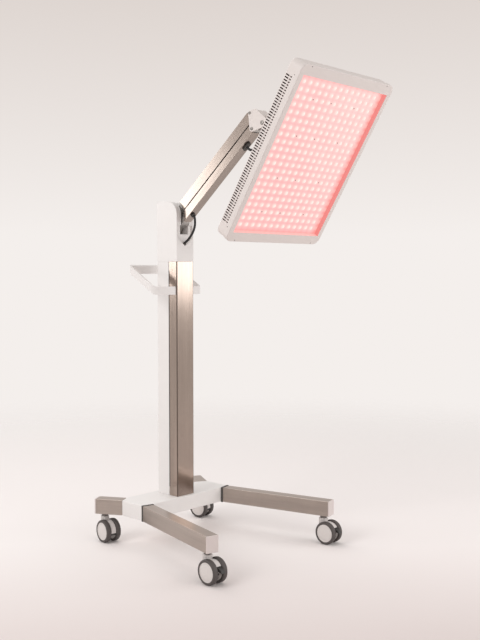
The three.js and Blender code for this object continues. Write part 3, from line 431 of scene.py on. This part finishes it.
for name, place, size, power in lights:
    softbox = bpy.data.lights.new(name, "AREA")
    softbox.shape = "SQUARE"
    softbox.size = size
    softbox.energy = power
    lamp = bpy.data.objects.new(name, softbox)
    lamp.location = place
    lamp.rotation_euler = (light_target - Vector(place)).to_track_quat("-Z", "Y").to_euler()
    lamp.visible_camera = False
    bpy.context.scene.collection.objects.link(lamp)
bpy.context.scene.view_settings.view_transform = "Standard"

# Crossbar: a welded steel box, ground smooth and powder coated in white, with spigots that the
# legs and the column are pushed over.
white_coat_color = (0.83, 0.795, 0.775)
crossbar_edge = 0.0008


def cad_copy(name):
    """A merged copy of a CAD piece with whole flat faces."""
    shape = bmesh.new()
    shape.from_mesh(cad[name].data)
    bmesh.ops.remove_doubles(shape, verts=shape.verts, dist=0.00001)
    bmesh.ops.dissolve_limit(shape, angle_limit=math.radians(1), verts=shape.verts,
                             edges=shape.edges)
    return shape


def keep_faces_flat(piece):
    """Lets the wide faces set the shading, so that only the narrow ones between them look round."""
    weight = piece.modifiers.new("face_weight", "WEIGHTED_NORMAL")
    weight.mode = "FACE_AREA"
    weight.weight = 100
    weight.keep_sharp = True


def edged(name, width, material, segments=2, shape=None):
    """A copy of a CAD piece with its sharp edges rounded, which stands for it."""
    piece = make_piece(shape or cad_copy(name), f"{name}_edged", material, cad[name]["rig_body"],
                       smooth=0)
    rounding = piece.modifiers.new("rounding", "BEVEL")
    rounding.width = width
    rounding.segments = segments
    rounding.limit_method = "ANGLE"
    rounding.angle_limit = math.radians(35)
    keep_faces_flat(piece)
    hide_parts(name)
    return piece


white_coat = moulded_finish("white_coat", white_coat_color, 0.42, tone=0.03, scale=700,
                            relief=0.05, rub=0.25)
edged("base_crossbar", crossbar_edge, white_coat)

# Legs: rectangular stainless tubes, brushed along their length, behind a dark rubber collar at
# the front and closed by a white plastic cap.
leg_steel_color = (0.455, 0.395, 0.355)
collar_color = (0.09, 0.082, 0.077)
cap_color = (0.69, 0.61, 0.585)
tube_edge = 0.0014
cap_edge = 0.0012
collar_edge = 0.0004
leg_turns = {
    "front_leg_right": -14,
    "front_leg_left": 14,
    "rear_leg_right": 30,
    "rear_leg_left": -30,
}


def make_brushed_grain():
    """Fine lines along Y of the given coordinates, with tone, roughness and height."""
    group, given, out = new_group(
        "brushed_grain",
        [
            ("Vector", "NodeSocketVector", (0, 0, 0)),
            ("Color", "NodeSocketColor", (0.5, 0.5, 0.5, 1)),
            ("Dark", "NodeSocketColor", (0.3, 0.3, 0.3, 1)),
            ("Roughness", "NodeSocketFloat", 0.3),
            ("Spread", "NodeSocketFloat", 0.15),
        ],
        [
            ("Color", "NodeSocketColor"),
            ("Roughness", "NodeSocketFloat"),
            ("Height", "NodeSocketFloat"),
        ],
    )
    stretched = vector_maths(group, "MULTIPLY", given["Vector"], (1100, 9, 1100))["Vector"]
    lines = noise(group, stretched, 1, 4, 0.65)
    drawn_out = vector_maths(group, "MULTIPLY", given["Vector"], (60, 2.5, 60))["Vector"]
    bands = noise(group, drawn_out, 1)
    both = maths(group, "MULTIPLY", lines, bands)
    share = ramp(group, both, 0.1, 0.42)
    shade = mixed(group, share, given["Dark"], given["Color"])
    swing = maths(group, "SUBTRACT", lines, 0.5)
    rough = maths(group, "MULTIPLY_ADD", swing, given["Spread"], given["Roughness"])
    group.links.new(shade, out["Color"])
    group.links.new(rough, out["Roughness"])
    group.links.new(lines, out["Height"])
    return group


brushed_grain = make_brushed_grain()


def steel_finish(name, turn, color, roughness, relief=0.12, spread=0.15):
    """Stainless steel brushed along the line that the turn lays on Y."""
    material, tree, shader = new_finish(name)
    shader.inputs["Metallic"].default_value = 1
    place = add_node(tree, "ShaderNodeTexCoord").outputs["Object"]
    rotation = [math.radians(angle) for angle in turn]
    laid = add_node(tree, "ShaderNodeMapping", {"Vector": place, "Rotation": rotation})
    darker = [part * 0.8 for part in color]
    brighter = [part * 1.35 for part in color]
    grain = add_node(tree, "ShaderNodeGroup",
                     {"Vector": laid.outputs[0], "Color": (*color, 1), "Dark": (*darker, 1),
                      "Roughness": roughness, "Spread": spread}, node_tree=brushed_grain)
    lay_grain(tree, shader, grain.outputs, place, rub=0.5, rubbed_color=brighter, relief=relief,
              depth=0.0002)
    return material


cap_plastic = moulded_finish("cap_plastic", cap_color, 0.38, tone=0.03, scale=1200, rub=0.2)
collar_rubber = moulded_finish("collar_rubber", collar_color, 0.75, scale=1400, relief=0.1)
for leg, turn in leg_turns.items():
    leg_steel = steel_finish(f"{leg}_steel", (0, 0, -turn), leg_steel_color, 0.3)
    edged(f"{leg}_tube", tube_edge, leg_steel, segments=3)
    edged(f"{leg}_cap", cap_edge, cap_plastic, segments=3)
    if leg.startswith("front"):
        edged(f"{leg}_collar", collar_edge, collar_rubber)

# Castors: a zinc plated stem fixed in the leg, a light grey hood that swivels on it, and two
# wheels, each a pale disc in a dark rubber tyre. The front ones have a brake pedal.
zinc_color = (0.58, 0.56, 0.54)
stem_color = (0.2, 0.185, 0.175)
hood_color = (0.66, 0.615, 0.595)
hood_inside_color = (0.03, 0.028, 0.027)
hub_color = (0.70, 0.655, 0.63)
tyre_color = (0.085, 0.072, 0.068)
pedal_color = (0.035, 0.032, 0.03)
hood_split_height = 0.0335
hood_edge = 0.0009
pedal_edge = 0.001
wheel_inner_face = 0.0093
wheel_sides = 64
stem_profile = [
    (0, 0.0605),
    (0.0055, 0.0605),
    (0.0055, 0.0825),
    (0.0102, 0.0825),
    (0.011, 0.0833),
    (0.011, 0.0873),
    (0.0104, 0.0878),
    (0.0104, 0.0884),
    (0.011, 0.0889),
    (0.011, 0.0909),
    (0.0102, 0.0917),
    (0.0055, 0.0917),
    (0.0055, 0.1105),
    (0, 0.1105),
]
tyre_profile = [
    (0.0280, 0.0012),
    (0.0325, 0.0005),
    (0.0352, 0.0008),
    (0.0367, 0.0019),
    (0.0374, 0.0036),
    (0.0375, 0.0060),
    (0.0375, 0.0105),
    (0.0373, 0.0130),
    (0.0367, 0.0150),
    (0.0356, 0.0165),
    (0.0340, 0.0173),
    (0.0320, 0.0175),
    (0.0304, 0.0173),
    (0.0297, 0.0167),
    (0.0295, 0.0155),
    (0.0280, 0.0150),
    (0.0280, 0.0012),
]
hub_profile = [
    (0, 0.0010),
    (0.0292, 0.0010),
    (0.0292, 0.0156),
    (0.0289, 0.0162),
    (0.0283, 0.0164),
    (0.0262, 0.0163),
    (0.0258, 0.0160),
    (0.0254, 0.0160),
    (0.0250, 0.0163),
    (0.0170, 0.0168),
    (0.0082, 0.0171),
    (0.0079, 0.0168),
    (0.0076, 0.0168),
    (0.0073, 0.0171),
    (0, 0.0174),
]


def zinc_finish(name, color, roughness):
    """A plated or bare metal skin with fine cloudy tone and scattered rub marks."""
    material = moulded_finish(name, color, roughness, tone=0.18, scale=1600, spread=0.2,
                              relief=0.03, rub=0.4)
    material.node_tree.nodes["Principled BSDF"].inputs["Metallic"].default_value = 1
    return material


joint_place = {joint["name"]: Vector(joint["pos_m"]) for joint in frame["joints"]}
joint_axis = {joint["name"]: Vector(joint["axis"]) for joint in frame["joints"]}
zinc = zinc_finish("zinc_plate", zinc_color, 0.36)
stem_steel = zinc_finish("stem_steel", stem_color, 0.34)
hood_plastic = moulded_finish("hood_plastic", hood_color, 0.45, scale=1300)
hood_inside = moulded_finish("hood_inside", hood_inside_color, 0.7, scale=1300)
hub_plastic = moulded_finish("hub_plastic", hub_color, 0.42, tone=0.03, scale=1300)
tyre_rubber = moulded_finish("tyre_rubber", tyre_color, 0.62, tone=0.15, relief=0.12, rub=0.5)
pedal_plastic = moulded_finish("pedal_plastic", pedal_color, 0.5, scale=1300, relief=0.1)
for castor in ["front_castor_right", "front_castor_left", "rear_castor_right", "rear_castor_left"]:
    swivel_place = joint_place[f"{castor}_swivel_turn"]
    stem = make_piece(turned(stem_profile, swivel_place, (0, 0, 1)), f"{castor}_stem_turned",
                      stem_steel, "stand")
    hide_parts(f"{castor}_stem")
    hood_shape = cad_copy(f"{castor}_hood")
    whole_hood = hood_shape.verts[:] + hood_shape.edges[:] + hood_shape.faces[:]
    bmesh.ops.bisect_plane(hood_shape, geom=whole_hood, plane_co=(0, 0, hood_split_height),
                           plane_no=(0, 0, 1))
    for face in hood_shape.faces:
        face.material_index = int(face.calc_center_median().z < hood_split_height)
    hood = edged(f"{castor}_hood", hood_edge, hood_plastic, shape=hood_shape)
    hood.data.materials.append(hood_inside)
    for hand, toward in [("right", -1), ("left", 1)]:
        roll = f"{castor}_{hand}_wheel_roll"
        outward = joint_axis[roll] * toward
        inner_face = joint_place[roll] + outward * wheel_inner_face
        body = f"{castor}_{hand}_wheel"
        tyre = make_piece(turned(tyre_profile, inner_face, outward, wheel_sides), f"{body}_tyre",
                          tyre_rubber, body)
        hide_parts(body)
        make_piece(turned(hub_profile, inner_face, outward, wheel_sides), f"{body}_hub",
                   hub_plastic, body)
    if castor.startswith("front"):
        edged(f"{castor}_brake_pedal", pedal_edge, pedal_plastic)

# Column: a steel post powder coated in white, with a brushed stainless cover hooked over its
# front and a cast head, in the same white coat, whose fork holds the arm's two pivot pins.
cover_steel_color = (0.37, 0.3, 0.258)
# The corner steel's dark colour is a painted reflection on the cover's rounded corners.
corner_reflection_steel_color = (0.15, 0.118, 0.1)
post_edge = 0.0008
cover_edge = 0.0006
cover_corner_lean = 0.15
head_edge = 0.0012
column_steel = steel_finish("column_steel", (90, 0, 0), cover_steel_color, 0.17, relief=0.25)
corner_reflection_steel = steel_finish("column_corner_reflection", (90, 0, 0), corner_reflection_steel_color, 0.35, relief=0.1)
edged("column_post", post_edge, white_coat)
cover_shape = cad_copy("column_cover")
for face in cover_shape.faces:
    # A face that leans to two sides belongs to one of the cover's rounded corners, which take a
    # darker steel as a painted dark reflection
    on_corner = min(abs(face.normal.x), abs(face.normal.y)) > cover_corner_lean
    face.material_index = int(on_corner)
cover = edged("column_cover", cover_edge, column_steel, shape=cover_shape)
cover.data.materials.append(corner_reflection_steel)
edged("column_head", head_edge, white_coat)


def refinish(name, material):
    """A CAD piece that keeps its own shape takes the material."""
    for held in cad[name].material_slots:
        held.material = material


for pin in ["head_pivot_pin_upper", "head_pivot_pin_lower"]:
    refinish(pin, zinc)

# Cover shadow strips: thin strips of dark rubber in the seams between the cover's side edges and
# the post, from the crossbar up to the head, a painted shadow for the gap between cover and post.
shadow_strip_width = 0.0036
shadow_strip_depth = 0.0012
shadow_strip_rise = 0.0004
shadow_strip_foot = 0.1722
shadow_strip_top = 0.9030
cover_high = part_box("column_cover")[1]
for hand, toward in [("right", -1), ("left", 1)]:
    # Each strip is a painted shadow along the cover's side edge.
    shadow_strip = bmesh.new()
    bmesh.ops.create_cube(shadow_strip, size=1)
    bmesh.ops.scale(shadow_strip, vec=(shadow_strip_depth, shadow_strip_width, shadow_strip_top - shadow_strip_foot), verts=shadow_strip.verts)
    shadow_strip_middle = (toward * (cover_high.x + shadow_strip_rise - shadow_strip_depth / 2), cover_high.y,
                   (shadow_strip_top + shadow_strip_foot) / 2)
    bmesh.ops.translate(shadow_strip, vec=shadow_strip_middle, verts=shadow_strip.verts)
    make_piece(shadow_strip, f"cover_shadow_strip_{hand}", collar_rubber, "stand")

# Push handle: a flat bar bent into a loop round the back of the post and screwed to its sides
# through two feet, in a fine light grey coat.
handle_color = (0.8, 0.76, 0.74)
handle_edge = 0.0012
screw_seat = 0.0426
screw_profile = [
    (0, -0.0115),
    (0.0024, -0.0115),
    (0.0024, 0),
    (0.0047, 0),
    (0.005, 0.0003),
    (0.005, 0.0014),
    (0.0044, 0.0023),
    (0.0032, 0.0025),
    (0.0026, 0.0025),
    (0.0024, 0.0012),
    (0, 0.0012),
]
handle_coat = moulded_finish("handle_coat", handle_color, 0.36, tone=0.03, relief=0.05, rub=0.35)
edged("push_handle", handle_edge, handle_coat, segments=3)
for hand, toward in [("right", -1), ("left", 1)]:
    low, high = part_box(f"handle_screw_{hand}")
    head_seat = (low + high) / 2
    head_seat.x = toward * screw_seat
    screw = make_piece(turned(screw_profile, head_seat, (toward, 0, 0), sides=24),
                       f"handle_screw_{hand}_turned", zinc, "stand")
    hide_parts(f"handle_screw_{hand}")

# Head gland: a dark rubber sleeve in the pocket of the column's head, from which the arm's cable
# comes out.
gland_place = (0, 0.247123, 0.9905)
gland_axis = (0, -1, 1)
gland_profile = [
    (0, -0.014),
    (0.0053, -0.014),
    (0.0053, -0.0002),
    (0.0055, 0.0002),
    (0.0055, 0.0035),
    (0.0052, 0.0045),
    (0.0046, 0.006),
    (0, 0.006),
]
gland = make_piece(turned(gland_profile, gland_place, gland_axis), "head_gland_sleeve",
                   collar_rubber, "stand")
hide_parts("head_cable_gland")

# Arm: two parallel steel links between the head and the knuckle, each under its own folded
# stainless cover brushed along its length, with the balance spring between them.
arm_turn = -40
arm_steel_color = (0.4, 0.34, 0.302)
arm_cover_edge = 0.0005
link_edge = 0.0008
bush_edge = 0.0012
upper_link_pivot = (0, 0.287123, 1.084)
spring_wire_radius = 0.0013
spring_radius = 0.0076
spring_turns = 74
spring_steps = 14
spring_start = 0.111
spring_length = 0.248
spring_drop = 0.020


def repeated(shape, places):
    """One mesh with the shape set down at each of the places, counted from where it was made."""
    single = bpy.data.meshes.new("single")
    shape.to_mesh(single)
    shape.free()
    together = bmesh.new()
    for place in places:
        single.transform(Matrix.Translation(place))
        together.from_mesh(single)
        single.transform(Matrix.Translation([-part for part in place]))
    bpy.data.meshes.remove(single)
    return together


arm_steel = steel_finish("arm_steel", (-arm_turn, 0, 0), arm_steel_color, 0.19, relief=0.02,
                         spread=0.03)
for link in ["upper", "lower"]:
    edged(f"{link}_arm_cover", arm_cover_edge, arm_steel)
    edged(f"{link}_link_bar", link_edge, zinc)
    edged(f"arm_grommet_{link}", bush_edge, collar_rubber, segments=3)

coil = bmesh.new()
bmesh.ops.create_circle(coil, radius=spring_wire_radius, segments=8)
bmesh.ops.rotate(coil, cent=(0, 0, 0), matrix=Matrix.Rotation(math.radians(90), 3, "Y"),
                 verts=coil.verts)
bmesh.ops.translate(coil, vec=(0, -spring_start, -spring_radius), verts=coil.verts)
spring_pitch = spring_length / spring_turns
bmesh.ops.spin(coil, geom=coil.verts[:] + coil.edges[:], cent=(0, 0, 0), axis=(0, 1, 0),
               dvec=(0, -spring_pitch / spring_steps, 0), angle=2 * math.pi, steps=spring_steps)
coil = repeated(coil, [(0, -spring_pitch * turn, 0) for turn in range(spring_turns)])
bmesh.ops.remove_doubles(coil, verts=coil.verts, dist=0.00001)
bmesh.ops.holes_fill(coil, edges=coil.edges)
bmesh.ops.recalc_face_normals(coil, faces=coil.faces)
on_upper_link = (Matrix.Translation(upper_link_pivot)
                 @ Matrix.Rotation(math.radians(arm_turn), 4, "X"))
bmesh.ops.transform(coil, matrix=on_upper_link @ Matrix.Translation((0, 0, -spring_drop)),
                    verts=coil.verts)
spring = make_piece(coil, "balance_spring_coil", zinc, "upper_arm")
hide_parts("balance_spring")

# Knuckle: two steel plates and a sloping web in the panel's light grey coat, held on the links
# and on the panel's white tilt bracket by plated pins with domed heads.
panel_coat_color = (0.74, 0.67, 0.638)
pin_color = (0.34, 0.32, 0.305)
knuckle_edge = 0.0008
bracket_edge = 0.0012
plate_face = 0.0223
tilt_pin_place = (0, -0.123918, 1.35111)
knuckle_pins = [
    ("knuckle_pin_upper", (0, -0.072918, 1.38611), 0.0035, 0.005),
    ("knuckle_pin_lower", (0, -0.080918, 1.33711), 0.0035, 0.005),
    ("tilt_pin", tilt_pin_place, 0.005, 0.0065),
]
panel_coat = moulded_finish("panel_coat", panel_coat_color, 0.45, tone=0.03, scale=800,
                            relief=0.06, rub=0.25)
pin_steel = zinc_finish("pin_steel", pin_color, 0.42)
edged("knuckle_bracket", knuckle_edge, panel_coat)


def pin_profile(radius, head_radius):
    """Half a pin from its middle to the top of its domed head, with a hexagon socket's mouth."""
    return [
        (0, -plate_face),
        (radius, -plate_face),
        (radius, 0),
        (head_radius - 0.0003, 0),
        (head_radius, 0.0003),
        (head_radius, 0.0012),
        (head_radius - 0.001, 0.0021),
        (head_radius * 0.6, 0.0025),
        (head_radius * 0.48, 0.0025),
        (head_radius * 0.46, 0.001),
        (0, 0.001),
    ]


for pin, place, radius, head_radius in knuckle_pins:
    both_ends = bmesh.new()
    for toward in [-1, 1]:
        head_seat = Vector(place) + Vector((toward * plate_face, 0, 0))
        half_pin = turned(pin_profile(radius, head_radius), head_seat, (toward, 0, 0), sides=32)
        half_mesh = bpy.data.meshes.new(pin)
        half_pin.to_mesh(half_mesh)
        half_pin.free()
        both_ends.from_mesh(half_mesh)
        bpy.data.meshes.remove(half_mesh)
    pin_piece = make_piece(both_ends, f"{pin}_turned", pin_steel, "knuckle")
    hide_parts(pin)

edged("tilt_bracket", bracket_edge, white_coat)

# Panel: a folded housing with two rows of vent slots in each side, behind a deep front frame
# with round corners, both in a fine light grey coat.
panel_lean = 32.4
panel_back = -0.171
panel_middle = -0.0194
panel_half_width = 0.212
panel_half_height = 0.274
window_half_width = 0.194
window_half_height = 0.243
frame_front = -0.2187
frame_front_edge = 0.0022
housing_back_edge = 0.002
housing_wall_depth = 0.0027
housing_back_depth = 0.01
# The housing's inside colour is painted shade with painted red light from the board, seen through
# the vents.
housing_painted_shade_color = (0.1, 0.045, 0.04)
# Painted light: the frame's inner walls round the window are coloured red and made to glow, as
# light from the board falls on them.
side_wall_painted_light_color = (0.6, 0.14, 0.12)
side_wall_painted_glow = (0.48, 0.215, 0.21)
end_wall_painted_light_color = (0.6, 0.36, 0.34)
end_wall_painted_glow = (0.55, 0.3, 0.28)
wall_glow_strength = 0.8
on_panel = Matrix.Translation(tilt_pin_place) @ Matrix.Rotation(math.radians(panel_lean), 4, "X")
off_panel = on_panel.inverted()


def in_window(place, slack):
    """Whether a place in the panel's own frame lies within the outline of the light's window."""
    return (abs(place.x) < window_half_width + slack
            and abs(place.z - panel_middle) < window_half_height + slack)


def outline_edges(shape, plane_y):
    """The edges of the outer rim that lie in one plane of the panel's own frame."""
    found = []
    for edge in shape.edges:
        ends = [off_panel @ vertex.co for vertex in edge.verts]
        in_plane = all(abs(end.y - plane_y) < 0.0002 for end in ends)
        on_rim = in_plane and not all(in_window(end, 0.001) for end in ends)
        if on_rim and len(edge.link_faces) == 2 and edge.calc_face_angle() > 0.6:
            found.append(edge)
    return found


housing_shape = cad_copy("panel_housing")
bmesh.ops.bevel(housing_shape, geom=outline_edges(housing_shape, panel_back),
                offset=housing_back_edge, affect="EDGES", segments=3, profile=0.5, material=-1)
# The inside walls and the back take the dark red-brown of painted shade and red light.
for face in housing_shape.faces:
    middle = off_panel @ face.calc_center_median()
    facing = off_panel.to_3x3() @ face.normal
    depth = min(panel_half_width - abs(middle.x), panel_half_height - abs(middle.z - panel_middle))
    inward = facing @ Vector((middle.x, 0, middle.z - panel_middle)) < 0
    inside_wall = abs(facing.y) < 0.5 and depth > housing_wall_depth and inward
    inside_back = facing.y < -0.9 and middle.y > panel_back - housing_back_depth
    face.material_index = int(inside_back or inside_wall)
housing = make_piece(housing_shape, "panel_housing_folded", panel_coat, "panel",
                     smooth=30)
housing_painted_shade = moulded_finish("housing_painted_shade", housing_painted_shade_color, 0.6, tone=0.15, rub=0)
housing.data.materials.append(housing_painted_shade)
keep_faces_flat(housing)
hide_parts("panel_housing")

frame_shape = cad_copy("panel_frame")
bmesh.ops.bevel(frame_shape, geom=outline_edges(frame_shape, frame_front),
                offset=frame_front_edge, affect="EDGES", segments=4, profile=0.5, material=-1)
for face in frame_shape.faces:
    middle = off_panel @ face.calc_center_median()
    facing = off_panel.to_3x3() @ face.normal
    inward = facing @ Vector((middle.x, 0, middle.z - panel_middle)) < 0
    if inward and in_window(middle, 0.0005):
        face.material_index = 1 if abs(facing.x) > 0.7 else 2
front_frame = make_piece(frame_shape, "panel_front_frame", panel_coat, "panel",
                         smooth=30)
keep_faces_flat(front_frame)
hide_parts("panel_frame")
# Painted light on the window's inner walls: a red colour and a glow.
for name, color, glow in [
    ("window_side_painted_glow", side_wall_painted_light_color, side_wall_painted_glow),
    ("window_end_painted_glow", end_wall_painted_light_color, end_wall_painted_glow),
]:
    wall_glow = moulded_finish(name, color, 0.4, tone=0.1, rub=0)
    wall_glow_shader = wall_glow.node_tree.nodes["Principled BSDF"]
    wall_glow_shader.inputs["Emission Color"].default_value = (*glow, 1)
    wall_glow_shader.inputs["Emission Strength"].default_value = wall_glow_strength
    wall_glow.cycles.emission_sampling = "NONE"
    front_frame.data.materials.append(wall_glow)
for rail in ["vent_rail_right", "vent_rail_left"]:
    refinish(rail, panel_coat)

# Frame screws: small dark sunk screws, four through the frame's front near its corners and two in
# each of its sides.
frame_screw_profile = [
    (0, -0.0006),
    (0.0014, -0.0006),
    (0.0016, 0),
    (0.0015, 0.0003),
    (0.0008, 0.0004),
    (0.0006, 0.0001),
    (0, 0.0001),
]
front_screw_across = 0.1745
front_screw_up = 0.2690
side_screw_along = -0.2048
side_screw_up = 0.2335
for across in [-1, 1]:
    for upward in [-1, 1]:
        for side, place, toward in [
            ("front", (across * front_screw_across, frame_front,
                       panel_middle + upward * front_screw_up), (0, -1, 0)),
            ("side", (across * panel_half_width, side_screw_along,
                      panel_middle + upward * side_screw_up), (across, 0, 0)),
        ]:
            screw_shape = turned(frame_screw_profile, place, toward, sides=16)
            bmesh.ops.transform(screw_shape, matrix=on_panel, verts=screw_shape.verts)
            make_piece(screw_shape, f"frame_screw_{side}_{across}_{upward}", stem_steel, "panel")

# LED board: a board glowing with painted light from its emitters, screwed to the plate behind it,
# with 21 rows of 13 emitters, each a small square holder with a domed clear lens over the chip.
led_rows = 21
led_columns = 13
led_row_pitch = 0.0223
led_column_pitch = 0.0272
board_front = -0.2031
board_back = -0.2015
board_half_width = 0.197
board_half_height = 0.246
board_edge = 0.0003
board_color = (0.25, 0.06, 0.06)
field_glow_color = (0.95, 0.52, 0.515)
halo_color = (0.98, 0.78, 0.72)
margin_glow_color = (0.95, 0.36, 0.33)
pale_glow_color = (0.96, 0.7, 0.67)
strip_shade_color = (0.82, 0.6, 0.55)
lens_rim_color = (0.9, 0.66, 0.6)
lens_color = (0.97, 0.85, 0.78)
holder_foot_radius = 0.00705
holder_top_radius = 0.0060
holder_height = 0.0012
lens_radius = 0.0060
lens_height = 0.0034
board_screw_columns = [-3.5, -0.5, 3.5]
board_screw_rows = [-8, -3, 3, 8]
board_screw_profile = [
    (0, -0.0002),
    (0.0016, -0.0002),
    (0.0018, 0.0004),
    (0.0012, 0.0011),
    (0, 0.0013),
]


def make_led_light():
    """Light that changes over the board, whose places are counted in emitters from its corner."""
    group, given, out = new_group(
        "led_light",
        [
            ("Cell", "NodeSocketVector", (0, 0, 0)),
            ("Field", "NodeSocketColor", (1, 0.4, 0.4, 1)),
            ("Halo", "NodeSocketColor", (1, 0.8, 0.8, 1)),
            ("Margin", "NodeSocketColor", (1, 0.3, 0.3, 1)),
            ("Pale", "NodeSocketColor", (1, 0.7, 0.7, 1)),
            ("Strip", "NodeSocketColor", (0.8, 0.6, 0.5, 1)),
            ("Reach", "NodeSocketFloat", 0.45),
        ],
        [("Color", "NodeSocketColor")],
    )
    # The nearest emitter, and the way to it
    last_cell = (led_columns - 0.001, led_rows - 0.001, 0)
    over_first = vector_maths(group, "MAXIMUM", given["Cell"], (0, 0, 0))["Vector"]
    on_lattice = vector_maths(group, "MINIMUM", over_first, last_cell)["Vector"]
    corner = vector_maths(group, "FLOOR", on_lattice)["Vector"]
    nearest = vector_maths(group, "ADD", corner, (0.5, 0.5, 0))["Vector"]
    from_lens = vector_maths(group, "DISTANCE", given["Cell"], nearest)["Value"]
    offset = vector_maths(group, "SUBTRACT", given["Cell"], nearest)["Vector"]
    apart = vector_maths(group, "ABSOLUTE", offset)["Vector"]
    away = add_node(group, "ShaderNodeSeparateXYZ", {"Vector": apart}).outputs
    # The painted glow of the field pales upwards and towards +X, and deepens at the board's margin
    climb = vector_maths(group, "DOT_PRODUCT", given["Cell"],
                         (0.5 / led_columns, 0.5 / led_rows, 0))["Value"]
    drift = noise(group, given["Cell"], 0.4)
    swing = maths(group, "MULTIPLY_ADD", drift, 0.5, climb)
    sweep = ramp(group, swing, 0.6, 1.2)
    field = mixed(group, sweep, given["Field"], given["Pale"])
    margin = ramp(group, from_lens, 0.55, 1.15)
    whole_field = mixed(group, margin, field, given["Margin"])
    # A painted halo of light round each emitter, and a strip of painted shade between those of a
    # row
    halo = ramp(group, from_lens, 0.1, given["Reach"], 1, 0, interpolation_type="SMOOTHSTEP")
    glow = mixed(group, halo, whole_field, given["Halo"])
    beside = ramp(group, away["X"], 0.2, 0.38, 0, 0.6)
    in_row = ramp(group, away["Y"], 0.12, 0.36, 1, 0)
    strip = maths(group, "MULTIPLY", beside, in_row)
    color = mixed(group, strip, glow, given["Strip"])
    group.links.new(color, out["Color"])
    return group


led_light = make_led_light()


def lit_finish(name, field, halo, strength, reach, roughness):
    """A lit surface of the board: its own colour, and light that changes from cell to cell, painted
    light on the plate.
    """
    material, tree, shader = new_finish(name)
    shader.inputs["Base Color"].default_value = (*board_color, 1)
    shader.inputs["Roughness"].default_value = roughness
    shader.inputs["Emission Strength"].default_value = strength
    cells = add_node(tree, "ShaderNodeUVMap", uv_map="cells")
    light = add_node(tree, "ShaderNodeGroup",
                     {"Cell": cells.outputs[0], "Field": (*field, 1), "Halo": (*halo, 1),
                      "Margin": (*margin_glow_color, 1), "Pale": (*pale_glow_color, 1),
                      "Strip": (*strip_shade_color, 1), "Reach": reach}, node_tree=led_light)
    tree.links.new(light.outputs[0], shader.inputs["Emission Color"])
    material.cycles.emission_sampling = "NONE"
    return material


def mark_cells(shape):
    """Writes each corner's place, counted in emitters, and lays the shape on the panel."""
    cells = shape.loops.layers.uv.new("cells")
    for face in shape.faces:
        for corner in face.loops:
            place = corner.vert.co
            corner[cells].uv = (place.x / led_column_pitch + led_columns / 2,
                                (place.z - panel_middle) / led_row_pitch + led_rows / 2)
    bmesh.ops.transform(shape, matrix=on_panel, verts=shape.verts)


field_light = lit_finish("led_field", field_glow_color, halo_color, strength=0.85, reach=0.52,
                         roughness=0.5)
lens_light = lit_finish("led_lens", lens_rim_color, lens_color, strength=0.92, reach=0.3,
                        roughness=0.2)

board_shape = bmesh.new()
bmesh.ops.create_cube(board_shape, size=1)
board_size = (2 * board_half_width, board_back - board_front, 2 * board_half_height)
bmesh.ops.scale(board_shape, vec=board_size, verts=board_shape.verts)
bmesh.ops.translate(board_shape, vec=(0, (board_front + board_back) / 2, panel_middle),
                    verts=board_shape.verts)
bmesh.ops.bevel(board_shape, geom=board_shape.edges[:], offset=board_edge, affect="EDGES",
                segments=1, profile=0.5, material=-1)
mark_cells(board_shape)
board = make_piece(board_shape, "led_board_plate", field_light, "panel")
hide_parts("led_board")

emitter = bmesh.new()
on_board = Matrix.Translation((0, board_front, 0)) @ Matrix.Rotation(math.radians(90), 4, "X")
holder_place = (on_board @ Matrix.Translation((0, 0, holder_height / 2))
                @ Matrix.Rotation(math.radians(45), 4, "Z"))
lens_place = on_board @ Matrix.Diagonal((lens_radius, lens_radius, lens_height, 1))
bmesh.ops.create_cone(emitter, cap_ends=True, segments=4, radius1=holder_foot_radius,
                      radius2=holder_top_radius, depth=holder_height, matrix=holder_place)
bmesh.ops.create_uvsphere(emitter, u_segments=12, v_segments=6, radius=1, matrix=lens_place)
lattice = [
    ((column - (led_columns - 1) / 2) * led_column_pitch, 0,
     panel_middle + (row - (led_rows - 1) / 2) * led_row_pitch)
    for row in range(led_rows)
    for column in range(led_columns)
]
lens_shape = repeated(emitter, lattice)
mark_cells(lens_shape)
make_piece(lens_shape, "led_lenses", lens_light, "panel", smooth=40)

board_screw = turned(board_screw_profile, (0, board_front, 0), (0, -1, 0), sides=12)
board_screws = repeated(board_screw, [
    (across * led_column_pitch, 0, panel_middle + upward * led_row_pitch)
    for across in board_screw_columns
    for upward in board_screw_rows
])
bmesh.ops.transform(board_screws, matrix=on_panel, verts=board_screws.verts)
make_piece(board_screws, "led_board_screws", stem_steel, "panel")

# Behind the board: a finned aluminium plate that takes its heat, on four posts, and the driver
# box on the housing's back wall.
aluminium_color = (0.6, 0.6, 0.61)
driver_color = (0.05, 0.05, 0.05)
aluminium = zinc_finish("mill_aluminium", aluminium_color, 0.4)
driver_plastic = moulded_finish("driver_plastic", driver_color, 0.55, scale=1000)
refinish("heat_spreader", aluminium)
refinish("led_driver", driver_plastic)

# Panel gland: a nut and a domed sleeve of dark rubber, screwed into the housing's back, where the
# cable goes in.
panel_gland_height = -0.088
panel_gland_profile = [
    (0, -0.0012),
    (0.0053, -0.0012),
    (0.0053, 0.0003),
    (0.0085, 0.0003),
    (0.0085, 0.0058),
    (0.0078, 0.0064),
    (0.0074, 0.0066),
    (0.0074, 0.0095),
    (0.0064, 0.0125),
    (0.0048, 0.0143),
    (0, 0.0143),
]
panel_gland_place = on_panel @ Vector((0, panel_back, panel_gland_height))
panel_gland_axis = on_panel.to_3x3() @ Vector((0, 1, 0))
panel_gland = make_piece(turned(panel_gland_profile, panel_gland_place, panel_gland_axis, sides=32),
                         "panel_gland_sleeve", collar_rubber, "panel")
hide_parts("panel_cable_gland")
